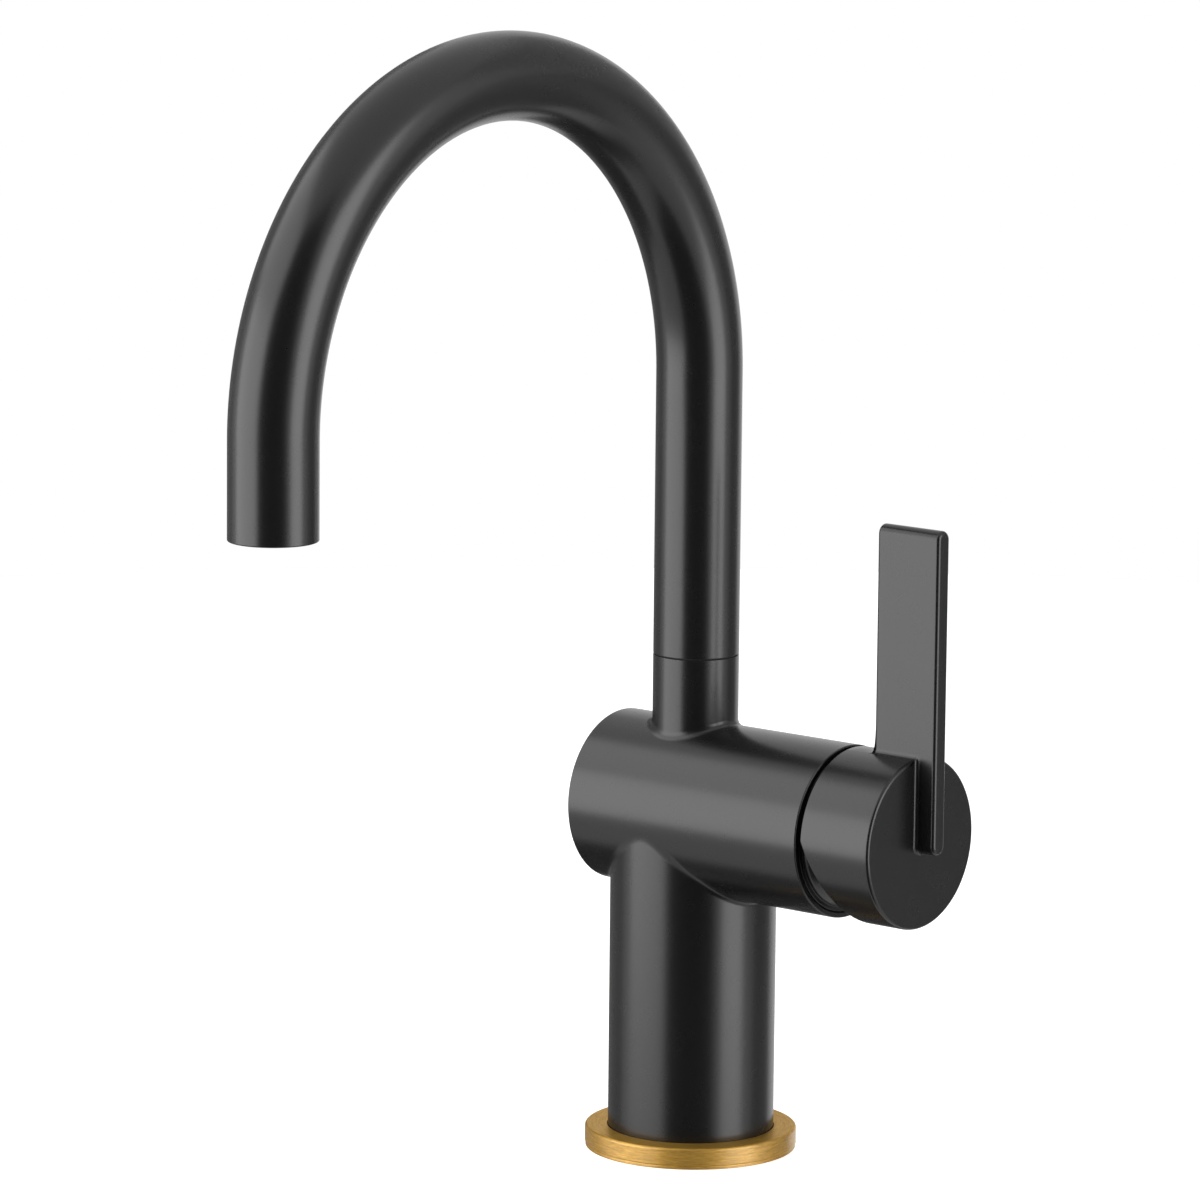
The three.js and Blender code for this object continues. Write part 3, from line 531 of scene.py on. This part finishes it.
def make_glide_washer():
    gap, edge = 0.05, 0.05
    inner, outer = 8.85, TUBE_RADIUS - 0.4
    foot, top = NECK_TOP + gap, SPOUT_FOOT - gap
    corners = [(inner, foot, edge), (outer, foot, edge), (outer, top, edge), (inner, top, edge)]
    washer = turned("glide_washer", rounded(corners, 2), sides=96)
    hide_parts("spout_glide_washer")
    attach(washer, "base")
    return washer


def make_bonnet():
    """The cap in the barrel's end: a sleeve, with a dome about the stem's pin."""
    bore, foot, flange, sleeve, hole = 16.9, BARREL_FRONT - 5.6, 20.6, 19.4, 10.5
    clearance, wall, hole_edge = 0.3, 1.6, 0.3
    outer = math.hypot(HUB_BACK - PIVOT_X, HUB_BORE) - clearance
    inner = outer - wall

    def angle_at(distance, radius):
        return math.degrees(math.asin(distance / radius))

    corners = [(bore, foot, 0.2), (flange, foot, 0.2), (flange, BARREL_FRONT, 0.2)]
    corners += [(sleeve, BARREL_FRONT, 0.15), (sleeve, PIVOT_X + 10, 0)]
    outline = rounded(corners)[: -(ROUND_STEPS + 1)]  # the last corner only gives the direction
    outline += arc(PIVOT_X, outer, angle_at(sleeve, outer), angle_at(hole + hole_edge, outer), 24)
    outline += arc(PIVOT_X, inner, angle_at(hole, inner), angle_at(bore, inner), 12, -1)
    cover = turned("bonnet_dome", subdivided(outline, 4), along_barrel, 128)
    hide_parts("bonnet")
    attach(cover, "base")
    return cover


# ---- Spout and aerator ----


def make_spout():
    length = BEND_Z - SPOUT_FOOT + math.pi * BEND_RADIUS + SPOUT_DROP
    corners = [
        (TUBE_BORE, 0, 0.2),
        (TUBE_RADIUS, 0, SEAM_EDGE),
        (TUBE_RADIUS, length, 0.35),
        (TUBE_BORE, length, 0.3),
    ]
    tube = turned("gooseneck_tube", subdivided(rounded(corners), 2.2), along_spout, 80)
    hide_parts("spout_tube")
    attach(tube, "spout")
    return tube


def make_aerator():
    """The outlet's brass sleeve, with a lip at its top, and its housing, with one at its foot."""
    outer, inner, lip = TUBE_BORE - 0.15, TUBE_BORE - 1.05, TUBE_BORE - 2.25
    foot, lip_foot, top = 1, 13.5, 16
    sleeve = [
        (inner, foot, 0.2),
        (outer, foot, 0.15),
        (outer, top, 0.1),
        (lip, top, 0.1),
        (lip, lip_foot, 0.1),
        (inner, lip_foot, 0.1),
    ]
    outer, inner, lip = TUBE_BORE - 1.35, TUBE_BORE - 2.65, TUBE_BORE - 3.45
    foot, lip_top, top = 0.5, 1.4, 11
    housing = [
        (lip, foot, 0.3),
        (outer, foot, 0.3),
        (outer, top, 0.2),
        (inner, top, 0.2),
        (inner, lip_top, 0.1),
        (lip, lip_top, 0.1),
    ]
    ring = turned("outlet_sleeve", rounded(sleeve, 3), in_outlet, 96)
    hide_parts("aerator_sleeve")
    insert = turned("aerator_insert", rounded(housing, 3), in_outlet, 96)
    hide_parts("aerator_housing")
    for made in (ring, insert):
        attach(made, "spout")
    return ring, insert


def make_screen():
    """A woven wire screen in a pressed rim."""
    foot, top, inner, outer, edge = 1.7, 2.3, 6.2, 6.8, 0.1
    wire, pitch, weave, steps_to_pitch = 0.13, 0.85, 0.14, 4
    skin = Skin()
    corners = [(inner, foot, edge), (outer, foot, edge), (outer, top, edge), (inner, top, edge)]
    add_turned(skin, rounded(corners, 2), in_outlet, 72)
    count = int((inner - wire) / pitch)
    for across, along, side in ((X, Y, 1), (Y, X, -1)):
        spokes = [around(math.pi * i / 3, across, Z) for i in range(6)]
        for number in range(-count, count + 1):
            half = math.sqrt(((inner + outer) / 2) ** 2 - (number * pitch) ** 2)
            steps = math.ceil(2 * half / pitch * steps_to_pitch)
            rows = []
            for step in range(steps + 1):
                distance = half * (2 * step / steps - 1)
                rise = side * weave * math.cos(math.pi * (distance / pitch + number))
                middle = in_outlet((foot + top) / 2 + rise)[0]
                middle += across * (number * pitch) + along * distance
                rows.append([(middle + spoke * wire, spoke) for spoke in spokes])
            skin.rows(rows)
            skin.cap(rows[0])
            skin.cap(rows[-1])
    screen = skin.piece("wire_screen")
    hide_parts("aerator_screen")
    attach(screen, "spout")
    return screen


# ---- Handle: hub and lever ----

ACROSS, UP = Vector((1, 0)), Vector((0, 1))  # in the section
CIRCLE_STEPS = 46  # from the hub's foot to the lever's fillet, on one side
SIDE_STEPS = 12
SIDE_SPREAD = 2.2  # above 1, those steps are shorter near the hub
TOP_STEPS = 7
ARC_STEPS = 5  # of each small rounding
BACK_STEPS = 3  # of the rounding of the hub's back
NEAR = 1.9  # how far apart two outlines are before a rounding between them has its full size


class Outline:
    """One side of the handle's section, as seen along the barrel, from its foot to its top.

    A point holds its place on the hub's circle, on the hub and lever together, and on the lever.
    """

    def __init__(self):
        ball = Vector((LEVER_HALF + LEVER_FILLET, 0))
        ball.y = math.sqrt((HUB_RADIUS + LEVER_FILLET) ** 2 - ball.x**2)
        lean = math.atan2(ball.x, ball.y)
        last = math.pi / 2 - lean
        top = LEVER_TOP - BARREL_Z - LEVER_HALF
        self.circle, self.both, self.lever = [], [], []
        self.both_normals, self.lever_normals = [], []
        for step in range(CIRCLE_STEPS + 1):
            angle = -math.pi / 2 + (last + math.pi / 2) * step / CIRCLE_STEPS
            spoke = around(angle, ACROSS, UP)
            foot, facing = spoke * LEVER_HALF, spoke
            if angle > 0:
                foot, facing = Vector((LEVER_HALF, HUB_RADIUS * math.sin(angle))), ACROSS
            self.add(spoke * HUB_RADIUS, spoke * HUB_RADIUS, foot, spoke, facing)
        for step in range(1, ARC_STEPS + 1):
            angle = -math.pi / 2 - lean - (math.pi / 2 - lean) * step / ARC_STEPS
            spoke = around(angle, ACROSS, UP)
            place = ball + spoke * LEVER_FILLET
            self.add(None, place, Vector((LEVER_HALF, place.y)), -spoke, ACROSS)
        for step in range(1, SIDE_STEPS + 1):
            rise = (top - ball.y) * (step / SIDE_STEPS) ** SIDE_SPREAD
            place = Vector((LEVER_HALF, ball.y + rise))
            self.add(None, place, place, ACROSS, ACROSS)
        for angle in quarter(TOP_STEPS)[1:]:
            spoke = around(angle, ACROSS, UP)
            place = Vector((0, top)) + spoke * LEVER_HALF
            self.add(None, place, place, spoke, spoke)
        covered = len(self.both) - CIRCLE_STEPS - 1
        for step in range(1, covered + 1):
            spoke = around(last + lean * step / covered, ACROSS, UP)
            self.circle[CIRCLE_STEPS + step] = spoke * HUB_RADIUS

    def add(self, circle, both, lever, both_normal, lever_normal):
        self.circle.append(circle)
        self.both.append(both)
        self.lever.append(lever)
        self.both_normals.append(both_normal)
        self.lever_normals.append(lever_normal)


def bevel(up):
    """Where the hub's back is, cut on a slant below its middle."""
    return HUB_BACK + max(0, BEVEL_RISE - up) * BEVEL_SLOPE


def on_by(step):
    """How far on a rounding's row is where its outlines meet, so that no two rows are one."""
    return 0.2 + 0.8 * step / ARC_STEPS


def stepped(start, end, start_full, end_full):
    """The two ends of the flat between two roundings, on the way from one outline to the other,
    and the share of its full size that each rounding has: less where the outlines are close."""
    share = min(1, (end - start).length / NEAR)
    return start.lerp(start_full, share), end.lerp(end_full, share), share


def handle_rows():
    """Rows of (x, across, up) from the cavity's floor out over the hub to the lever's front."""
    outline = Outline()
    count = len(outline.both)
    rows = []

    def ring(radius, behind, slanted=False):
        """One round row on the cavity's floor, or on the slanted back."""
        made = []
        for place in outline.circle:
            spoke = place / HUB_RADIUS
            across, up = spoke.x * radius, spoke.y * radius
            made.append(((bevel(up) if slanted else HUB_CAVITY) + behind, across, up))
        rows.append(made)

    floor_middle, floor_edge = 6, 0.6
    ring(floor_middle, 0)
    ring(HUB_BORE - floor_edge, 0)
    ring(HUB_BORE, -floor_edge)
    for radius, way in ((HUB_BORE, 1), (HUB_RADIUS, -1)):
        for turn in quarter(BACK_STEPS)[::way]:
            inset = BACK_EDGE * (1 - math.cos(turn))
            ring(radius + way * inset, BACK_EDGE * (1 - math.sin(turn)), slanted=True)

    def row(x_circle, x_lever, places, shares):
        """One row, whose points on the hub alone keep clear of the slanted cut."""
        start, end = HUB_BACK + BACK_EDGE, HUB_FRONT - HUB_EDGE
        made = []
        for i, place in enumerate(places):
            x = x_circle + (x_lever - x_circle) * shares[i]
            if x < end:
                own = bevel(outline.circle[i].y) + BACK_EDGE
                x = own + (x - start) * (end - own) / (end - start)
            made.append((x, place.x, place.y))
        rows.append(made)

    whole = [1.0] * count
    for x in (HUB_BACK + 2.5, HUB_BACK + 5):  # rows along the hub's wall
        row(x, x, outline.circle, whole)
    # The lever's back, between the hub's circle and the section of both
    backs = []
    for start, end, normal in zip(outline.circle, outline.both, outline.both_normals):
        risen = start + start.normalized() * LEVER_FILLET
        backs.append(stepped(start, end, risen, end - normal * LEVER_EDGE))
    shares = [share for _, _, share in backs]
    for turn in quarter(ARC_STEPS):
        x = LEVER_BACK - LEVER_FILLET * (1 - math.sin(turn))
        places = [outline.circle[i].lerp(backs[i][0], 1 - math.cos(turn)) for i in range(count)]
        row(x, x, places, whole)
    for step, turn in enumerate(quarter(ARC_STEPS)):
        x_lever = LEVER_BACK + LEVER_EDGE * (1 - math.cos(turn))
        x_circle = LEVER_BACK + LEVER_EDGE * on_by(step)
        places = [backs[i][1].lerp(outline.both[i], math.sin(turn)) for i in range(count)]
        row(x_circle, x_lever, places, shares)
    for x in (LEVER_BACK + 4, LEVER_BACK + 8):  # rows along hub and lever together
        row(x, x, outline.both, whole)
    # The hub's front, between the section of both and the lever's own
    fronts = []
    for i in range(count):
        start, end = outline.both[i], outline.lever[i]
        inset = start - outline.both_normals[i] * HUB_EDGE
        risen = end + outline.lever_normals[i] * LEVER_FILLET
        fronts.append(stepped(start, end, inset, risen))
    for turn in quarter(ARC_STEPS):
        x = HUB_FRONT - HUB_EDGE * (1 - math.sin(turn))
        places = [outline.both[i].lerp(fronts[i][0], 1 - math.cos(turn)) for i in range(count)]
        rows.append([(x, place.x, place.y) for place in places])
    for step, turn in enumerate(quarter(ARC_STEPS)):
        x_hub = HUB_FRONT + LEVER_FILLET * (1 - math.cos(turn))
        x_lever = HUB_FRONT + LEVER_FILLET * on_by(step)
        made = []
        for (_, foot, share), end in zip(fronts, outline.lever):
            place = foot.lerp(end, math.sin(turn))
            made.append((x_lever + (x_hub - x_lever) * share, place.x, place.y))
        rows.append(made)
    for turn in quarter(ARC_STEPS):
        x = LEVER_FRONT - LEVER_EDGE * (1 - math.sin(turn))
        inset = LEVER_EDGE * (1 - math.cos(turn))
        made = []
        for place, normal in zip(outline.lever, outline.lever_normals):
            place = place - normal * inset
            made.append((x, place.x, place.y))
        rows.append(made)
    return rows


def socket_cutter():
    """The square socket for the stem, which rests half the lever's tilt above the barrel's axis."""
    skin = Skin()
    gap, run_in = 0.3, 3
    half, rest = STEM_SIZE / 2 + gap, math.radians(STEM_REST)
    along = Vector((math.cos(rest), 0, math.sin(rest)))
    rise = Vector((-math.sin(rest), 0, math.cos(rest)))
    rows = []
    for distance in (HUB_CAVITY - PIVOT_X - run_in, STEM_LENGTH + gap):
        middle = Vector((PIVOT_X, 0, BARREL_Z)) + along * distance
        corners = ((half, half), (-half, half), (-half, -half), (half, -half))
        rows.append([(middle + Y * y + rise * z, Z) for y, z in corners])
    skin.rows(rows)
    skin.cap(rows[0])
    skin.cap(rows[1])
    return skin


def screw_hole_cutter():
    """The set screw's hole, up from under the hub, with its edge broken."""
    skin = Skin()
    chamfer, foot, top = 0.3, BARREL_Z - HUB_RADIUS, BARREL_Z + 2
    profile = [(SCREW_HOLE + 2 * chamfer, foot - chamfer), (SCREW_HOLE, foot + chamfer)]
    profile.append((SCREW_HOLE, top))
    spokes = [around(math.pi * i / 32) for i in range(64)]
    rows = []
    for radius, height in profile:
        rows.append([(X * SCREW_X + spoke * radius + Z * height, Z) for spoke in spokes])
    skin.rows(rows)
    skin.cap(rows[0])
    skin.cap(rows[-1])
    return skin


def cut_out(mesh, cutter):
    """The mesh with the cutter's shape taken out of it."""
    pair = []
    for name, data in (("uncut", mesh), ("cutter", cutter.mesh("cutter"))):
        outward(data)
        pair.append(bpy.data.objects.new(name, data))
        bpy.context.scene.collection.objects.link(pair[-1])
    uncut, tool = pair
    difference = uncut.modifiers.new("cut", "BOOLEAN")
    difference.operation = "DIFFERENCE"
    difference.solver = "EXACT"
    difference.object = tool
    graph = bpy.context.evaluated_depsgraph_get()
    result = bpy.data.meshes.new_from_object(uncut.evaluated_get(graph))
    for item in pair:
        bpy.data.objects.remove(item)
    return result


def make_handle():
    skin = Skin()
    rows = []
    for half in handle_rows():
        other = [(x, -across, up) for x, across, up in half[-2:0:-1]]
        rows.append([(Vector((x, across, up + BARREL_Z)), Z) for x, across, up in half + other])
    skin.rows(rows)
    skin.cap(rows[0])
    front = rows[-1]
    for i in range(len(front) // 2):
        corners = (front[i], front[i + 1], front[-i - 1], front[-i])
        skin.face([skin.point(*corner) for corner in corners])
    mesh = skin.mesh("lever_handle")
    for cutter in (socket_cutter(), screw_hole_cutter()):
        mesh = cut_out(mesh, cutter)
    made = face_shaded("lever_handle", mesh)
    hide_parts("handle")
    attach(made, "handle")
    return made


# ---- Materials ----


class Shader:
    """A material made of nodes, with its Principled BSDF as self.surface."""

    def __init__(self, name, colour, roughness, metallic=0.0, **sockets):
        self.material = bpy.data.materials.new(name)
        self.material.use_nodes = True
        self.tree = self.material.node_tree
        self.surface = self.tree.nodes["Principled BSDF"]
        self.surface.inputs["Base Color"].default_value = (*colour, 1)
        self.surface.inputs["Roughness"].default_value = roughness
        self.surface.inputs["Metallic"].default_value = metallic
        for socket, value in sockets.items():
            self.surface.inputs[socket.replace("_", " ")].default_value = value
        self.place = self.node("ShaderNodeTexCoord").outputs["Object"]

    def node(self, kind, **values):
        made = self.tree.nodes.new(kind)
        for name, value in values.items():
            if name in made.inputs:
                made.inputs[name].default_value = value
            else:
                setattr(made, name, value)
        return made

    def link(self, output, target):
        self.tree.links.new(output, target)

    def feed(self, socket, output):
        """Links a node's output to a socket of the surface."""
        self.link(output, self.surface.inputs[socket])

    def noise(self, scale, detail=2.0, roughness=0.5, place=None):
        """Noise with a scale in cycles to the metre."""
        made = self.node("ShaderNodeTexNoise", Scale=scale, Detail=detail, Roughness=roughness)
        self.link(place or self.place, made.inputs["Vector"])
        return made.outputs["Fac"]

    def ranged(self, value, start, end, low_end=0.3, high_end=0.7):
        """A value between two numbers."""
        made = self.node("ShaderNodeMapRange")
        for index, number in enumerate((low_end, high_end, start, end), start=1):
            made.inputs[index].default_value = number
        self.link(value, made.inputs["Value"])
        return made.outputs["Result"]

    def mixed(self, share, first, second):
        """A colour between two colours."""
        made = self.node("ShaderNodeMix", data_type="RGBA")
        colours = [socket for socket in made.inputs if socket.type == "RGBA"]
        colours[0].default_value = (*first, 1)
        colours[1].default_value = (*second, 1)
        self.link(share, made.inputs["Factor"])
        return next(socket for socket in made.outputs if socket.type == "RGBA")

    def bump(self, height, distance, strength=1.0):
        """Bumps of a height in millimetres."""
        made = self.node("ShaderNodeBump", Strength=strength, Distance=distance * MM)
        self.link(height, made.inputs["Height"])
        self.feed("Normal", made.outputs["Normal"])


def satin_black():
    """A satin coat: near black, with a very fine grain and a barely uneven sheen."""
    shader = Shader("satin_black", (0.006, 0.006, 0.0062), 0.27, IOR=1.48)
    grain = shader.noise(900, 4, 0.6)
    colour = shader.mixed(grain, (0.005, 0.005, 0.0052), (0.007, 0.007, 0.0073))
    shader.feed("Base Color", colour)
    shader.feed("Roughness", shader.ranged(shader.noise(240, 3), 0.264, 0.276))
    shader.bump(shader.noise(4200, 2), 0.004, 0.04)
    return shader.material


STREAK_LENGTH = 0.003  # of the gold's brushing, in metres to the radian
SIDE_ROUGHNESS = 0.17  # of the ring's side, over that of its top


def brushed_gold():
    """Brushed round the ring's axis: streaks run along its side and in circles on its top."""
    shader = Shader(
        "brushed_gold",
        (0.42, 0.24, 0.045),
        roughness=0.5,
        metallic=0.7,
        Specular_IOR_Level=0.1,
        Specular_Tint=(1.0, 0.85, 0.6, 1),
        Anisotropic=0.4,
        Anisotropic_Rotation=0.25,
        Coat_Roughness=0.24,
        Coat_IOR=1.5,
    )
    parts = shader.node("ShaderNodeSeparateXYZ")
    shader.link(shader.place, parts.inputs[0])
    flat = shader.node("ShaderNodeCombineXYZ")
    shader.link(parts.outputs["X"], flat.inputs["X"])
    shader.link(parts.outputs["Y"], flat.inputs["Y"])
    radius = shader.node("ShaderNodeVectorMath", operation="LENGTH")
    shader.link(flat.outputs[0], radius.inputs[0])
    angle = shader.node("ShaderNodeMath", operation="ARCTAN2")
    shader.link(parts.outputs["Y"], angle.inputs[0])
    shader.link(parts.outputs["X"], angle.inputs[1])
    arc_length = shader.node("ShaderNodeMath", operation="MULTIPLY")
    shader.link(angle.outputs[0], arc_length.inputs[0])
    arc_length.inputs[1].default_value = STREAK_LENGTH
    streaked = shader.node("ShaderNodeCombineXYZ")
    shader.link(arc_length.outputs[0], streaked.inputs["X"])
    shader.link(radius.outputs["Value"], streaked.inputs["Y"])
    shader.link(parts.outputs["Z"], streaked.inputs["Z"])
    fine = shader.noise(2700, 5, 0.75, streaked.outputs[0])
    colour = shader.mixed(shader.ranged(fine, 0, 1), (0.28, 0.155, 0.028), (0.58, 0.34, 0.068))
    shader.feed("Base Color", colour)
    # The side is lacquered over its coarser brushing, and the top is left as it is
    facing = shader.node("ShaderNodeSeparateXYZ")
    shader.link(shader.node("ShaderNodeNewGeometry").outputs["Normal"], facing.inputs[0])
    side = shader.ranged(facing.outputs["Z"], 0.8, 0, 0.2, 0.9)
    shader.feed("Coat Weight", side)
    broad = shader.noise(1500, 2, 0.5, streaked.outputs[0])
    roughness = shader.node("ShaderNodeMath", operation="MULTIPLY_ADD")
    shader.link(side, roughness.inputs[0])
    roughness.inputs[1].default_value = SIDE_ROUGHNESS
    shader.link(shader.ranged(broad, 0.35, 0.46), roughness.inputs[2])
    shader.feed("Roughness", roughness.outputs[0])
    shader.bump(fine, 0.02, 0.5)
    return shader.material


def metal(name, colour, roughness, grain=2600):
    """A plain machined metal with a fine grain."""
    shader = Shader(name, colour, roughness, 1.0)
    darker = tuple(0.82 * part for part in colour)
    shader.feed("Base Color", shader.mixed(shader.noise(grain / 12, 3), darker, colour))
    uneven = shader.ranged(shader.noise(grain / 6, 3), roughness * 0.8, roughness * 1.25)
    shader.feed("Roughness", uneven)
    shader.bump(shader.noise(grain, 3, 0.6), 0.01, 0.4)
    return shader.material


def moulded(name, colour, roughness, grain=3000, lift=0.015):
    """Moulded plastic, rubber or fired ceramic, with a fine even grain."""
    shader = Shader(name, colour, roughness)
    darker = tuple(0.86 * part for part in colour)
    shader.feed("Base Color", shader.mixed(shader.noise(grain / 20, 2), darker, colour))
    uneven = shader.ranged(shader.noise(grain / 8, 3), roughness * 0.88, min(1, roughness * 1.1))
    shader.feed("Roughness", uneven)
    shader.bump(shader.noise(grain, 3, 0.6), lift, 0.5)
    return shader.material


def paint(made, material):
    made.data.materials.clear()
    made.data.materials.append(material)


# ---- Studio ----

WHITE = (1, 1, 1, 1)
MIDDLE = Vector((0, 0, 0.13))  # the place that lamps and cards face, in metres

# The camera's, in degrees and millimetres
CAMERA_AZIMUTH = 39.3464
CAMERA_PITCH = 9.8808
CAMERA_ROLL = 0.5528
CAMERA_DISTANCE = 1843.54
CAMERA_LENS = 214.593
CAMERA_SENSOR = 36
TARGET_LEVEL = -24.9333  # to the right of the column's axis, as the camera sees it
TARGET_HEIGHT = 143.9015


def make_camera():
    """The camera, at the photograph's place."""
    angles = (CAMERA_AZIMUTH, CAMERA_PITCH, CAMERA_ROLL)
    azimuth, pitch, roll = (math.radians(angle) for angle in angles)
    forward = Vector((-math.sin(azimuth), math.cos(azimuth), 0)) * math.cos(pitch)
    forward -= Z * math.sin(pitch)
    level = Vector((math.cos(azimuth), math.sin(azimuth), 0))
    tall = level.cross(forward)
    right = level * math.cos(roll) + tall * math.sin(roll)
    up = tall * math.cos(roll) - level * math.sin(roll)
    target = level * TARGET_LEVEL + Z * TARGET_HEIGHT
    data = bpy.data.cameras.new("camera")
    data.sensor_width = CAMERA_SENSOR
    data.lens = CAMERA_LENS
    data.clip_start, data.clip_end = 0.05, 50
    camera = bpy.data.objects.new("camera", data)
    camera.matrix_world = Matrix((right, up, -forward)).transposed().to_4x4()
    camera.location = (target - forward * CAMERA_DISTANCE) * MM
    bpy.context.scene.collection.objects.link(camera)
    bpy.context.scene.camera = camera


def studio_place(azimuth, elevation, distance):
    """A place round the faucet, by its angle to the right of the camera's, in metres."""
    turn = math.radians(CAMERA_AZIMUTH + azimuth)
    rise = math.radians(elevation)
    level = math.cos(rise)
    out = Vector((math.sin(turn) * level, -math.cos(turn) * level, math.sin(rise)))
    return out * distance + MIDDLE


def stand(item, azimuth, elevation, distance):
    """Puts a lamp or a card in its place, facing the faucet, where the camera doesn't see it."""
    item.location = studio_place(azimuth, elevation, distance)
    item.rotation_euler = (MIDDLE - item.location).to_track_quat("-Z", "Y").to_euler()
    item.visible_camera = False
    bpy.context.scene.collection.objects.link(item)


def span(angle, distance):
    """The width of a panel that takes up an angle, in degrees."""
    return 2 * distance * math.tan(math.radians(angle) / 2)


def softbox(name, azimuth, elevation, across, tall, radiance, distance=1.3):
    """A soft panel of light, of a width and height in degrees as the faucet sees them."""
    data = bpy.data.lights.new(name, "AREA")
    data.shape = "RECTANGLE"
    data.size, data.size_y = span(across, distance), span(tall, distance)
    data.energy = 4 * radiance * data.size * data.size_y  # as Blender counts a panel's power
    stand(bpy.data.objects.new(name, data), azimuth, elevation, distance)


def flag(name, azimuth, elevation, across, tall, shade=0.02, distance=1.1):
    """A dark card that the faucet reflects."""
    mesh = bpy.data.meshes.new(name)
    x, y = span(across, distance) / 2, span(tall, distance) / 2
    mesh.from_pydata([(-x, -y, 0), (x, -y, 0), (x, y, 0), (-x, y, 0)], [], [(0, 1, 2, 3)])
    card = bpy.data.objects.new(name, mesh)
    stand(card, azimuth, elevation, distance)
    paint(card, Shader(name, (shade, shade, shade), 0.9).material)


def background_rays(tree):
    """1 for the rays that show the background: the camera's, reflected and transmitted ones."""
    path = tree.nodes.new("ShaderNodeLightPath")
    seen = path.outputs["Is Camera Ray"]
    for other in ("Is Glossy Ray", "Is Transmission Ray"):
        either = tree.nodes.new("ShaderNodeMath")
        either.operation = "MAXIMUM"
        tree.links.new(seen, either.inputs[0])
        tree.links.new(path.outputs[other], either.inputs[1])
        seen = either.outputs[0]
    return seen


FLOOR_RADIUS = 0.9  # in metres, short of the cards
FLOOR_LIFT = 0.7
WORLD_LIGHT = 0.45


def make_floor():
    """A pale floor, lifted towards white where the camera sees it, with the faucet's shadow."""
    mesh = bpy.data.meshes.new("floor")
    angles = [math.radians(angle) for angle in range(0, 360, 6)]
    rim = [(FLOOR_RADIUS * math.cos(angle), FLOOR_RADIUS * math.sin(angle), 0) for angle in angles]
    mesh.from_pydata(rim, [], [tuple(range(len(rim)))])
    floor = bpy.data.objects.new("floor", mesh)
    bpy.context.scene.collection.objects.link(floor)
    floor.location.z = -0.0001
    floor.visible_glossy = False
    floor.visible_shadow = False
    shader = Shader("pale_floor", (0.9, 0.9, 0.9), 0.9, Emission_Color=WHITE)
    shader.surface.inputs["Specular IOR Level"].default_value = 0
    lift = shader.ranged(background_rays(shader.tree), 0, FLOOR_LIFT, 0, 1)
    shader.link(lift, shader.surface.inputs["Emission Strength"])
    paint(floor, shader.material)


def make_world():
    """White to the camera and in reflections, and a softer grey as light."""
    world = bpy.data.worlds.new("studio")
    bpy.context.scene.world = world
    world.use_nodes = True
    tree = world.node_tree
    background = tree.nodes["Background"]
    background.inputs["Color"].default_value = WHITE
    strength = tree.nodes.new("ShaderNodeMapRange")
    strength.inputs["To Min"].default_value = WORLD_LIGHT
    strength.inputs["To Max"].default_value = 1.0
    tree.links.new(background_rays(tree), strength.inputs["Value"])
    tree.links.new(strength.outputs[0], background.inputs["Strength"])


# ---- Making ----

make_camera()

black = satin_black()
gold = brushed_gold()
brass = metal("plain_brass", (0.62, 0.45, 0.18), 0.34)
copper = metal("copper", (0.72, 0.34, 0.18), 0.3)
steel = metal("stainless_steel", (0.55, 0.56, 0.57), 0.3)
rubber = moulded("black_rubber", (0.018, 0.018, 0.018), 0.75, 2200, 0.03)
ceramic = moulded("white_ceramic", (0.8, 0.79, 0.76), 0.3, 5000, 0.004)
grey_plastic = moulded("grey_plastic", (0.26, 0.28, 0.29), 0.5)
white_plastic = moulded("white_plastic", (0.75, 0.75, 0.72), 0.45)

by_slot = {
    "matte_black": black,
    "brushed_gold": gold,
    "plain_brass": brass,
    "copper_tube": copper,
    "steel": steel,
    "black_rubber": rubber,
    "white_ceramic": ceramic,
    "grey_plastic": grey_plastic,
    "white_plastic": white_plastic,
}
for subpart in frame["record"]["subparts"]:
    paint(nodes[subpart["node"]], by_slot[subpart["material_slot"]])

paint(make_ring(), gold)
paint(make_body(), black)
paint(make_glide_washer(), rubber)
paint(make_bonnet(), black)
paint(make_spout(), black)
outlet_sleeve, aerator_insert = make_aerator()
paint(outlet_sleeve, brass)
paint(aerator_insert, grey_plastic)
paint(make_screen(), steel)
paint(make_handle(), black)

make_world()
make_floor()
softbox("left_panel", -68, 5, 58, 44, 2.5)
softbox("upper_left_panel", -78, 43, 70, 30, 1.35)
softbox("right_panel", 56, 7, 34, 54, 3.0)
flag("front_flag", -4, -9, 64, 120, 0.01)
flag("right_flag", 112, -17, 40, 56, 0.33)
flag("left_flag", -142, -4, 60, 80, 0.33)
flag("low_left_flag", -150, -52, 66, 44, 0.08, 1.05)
flag("back_right_flag", 128, 31, 60, 40, 0.55)

scene = bpy.context.scene
scene.view_settings.view_transform = "Standard"
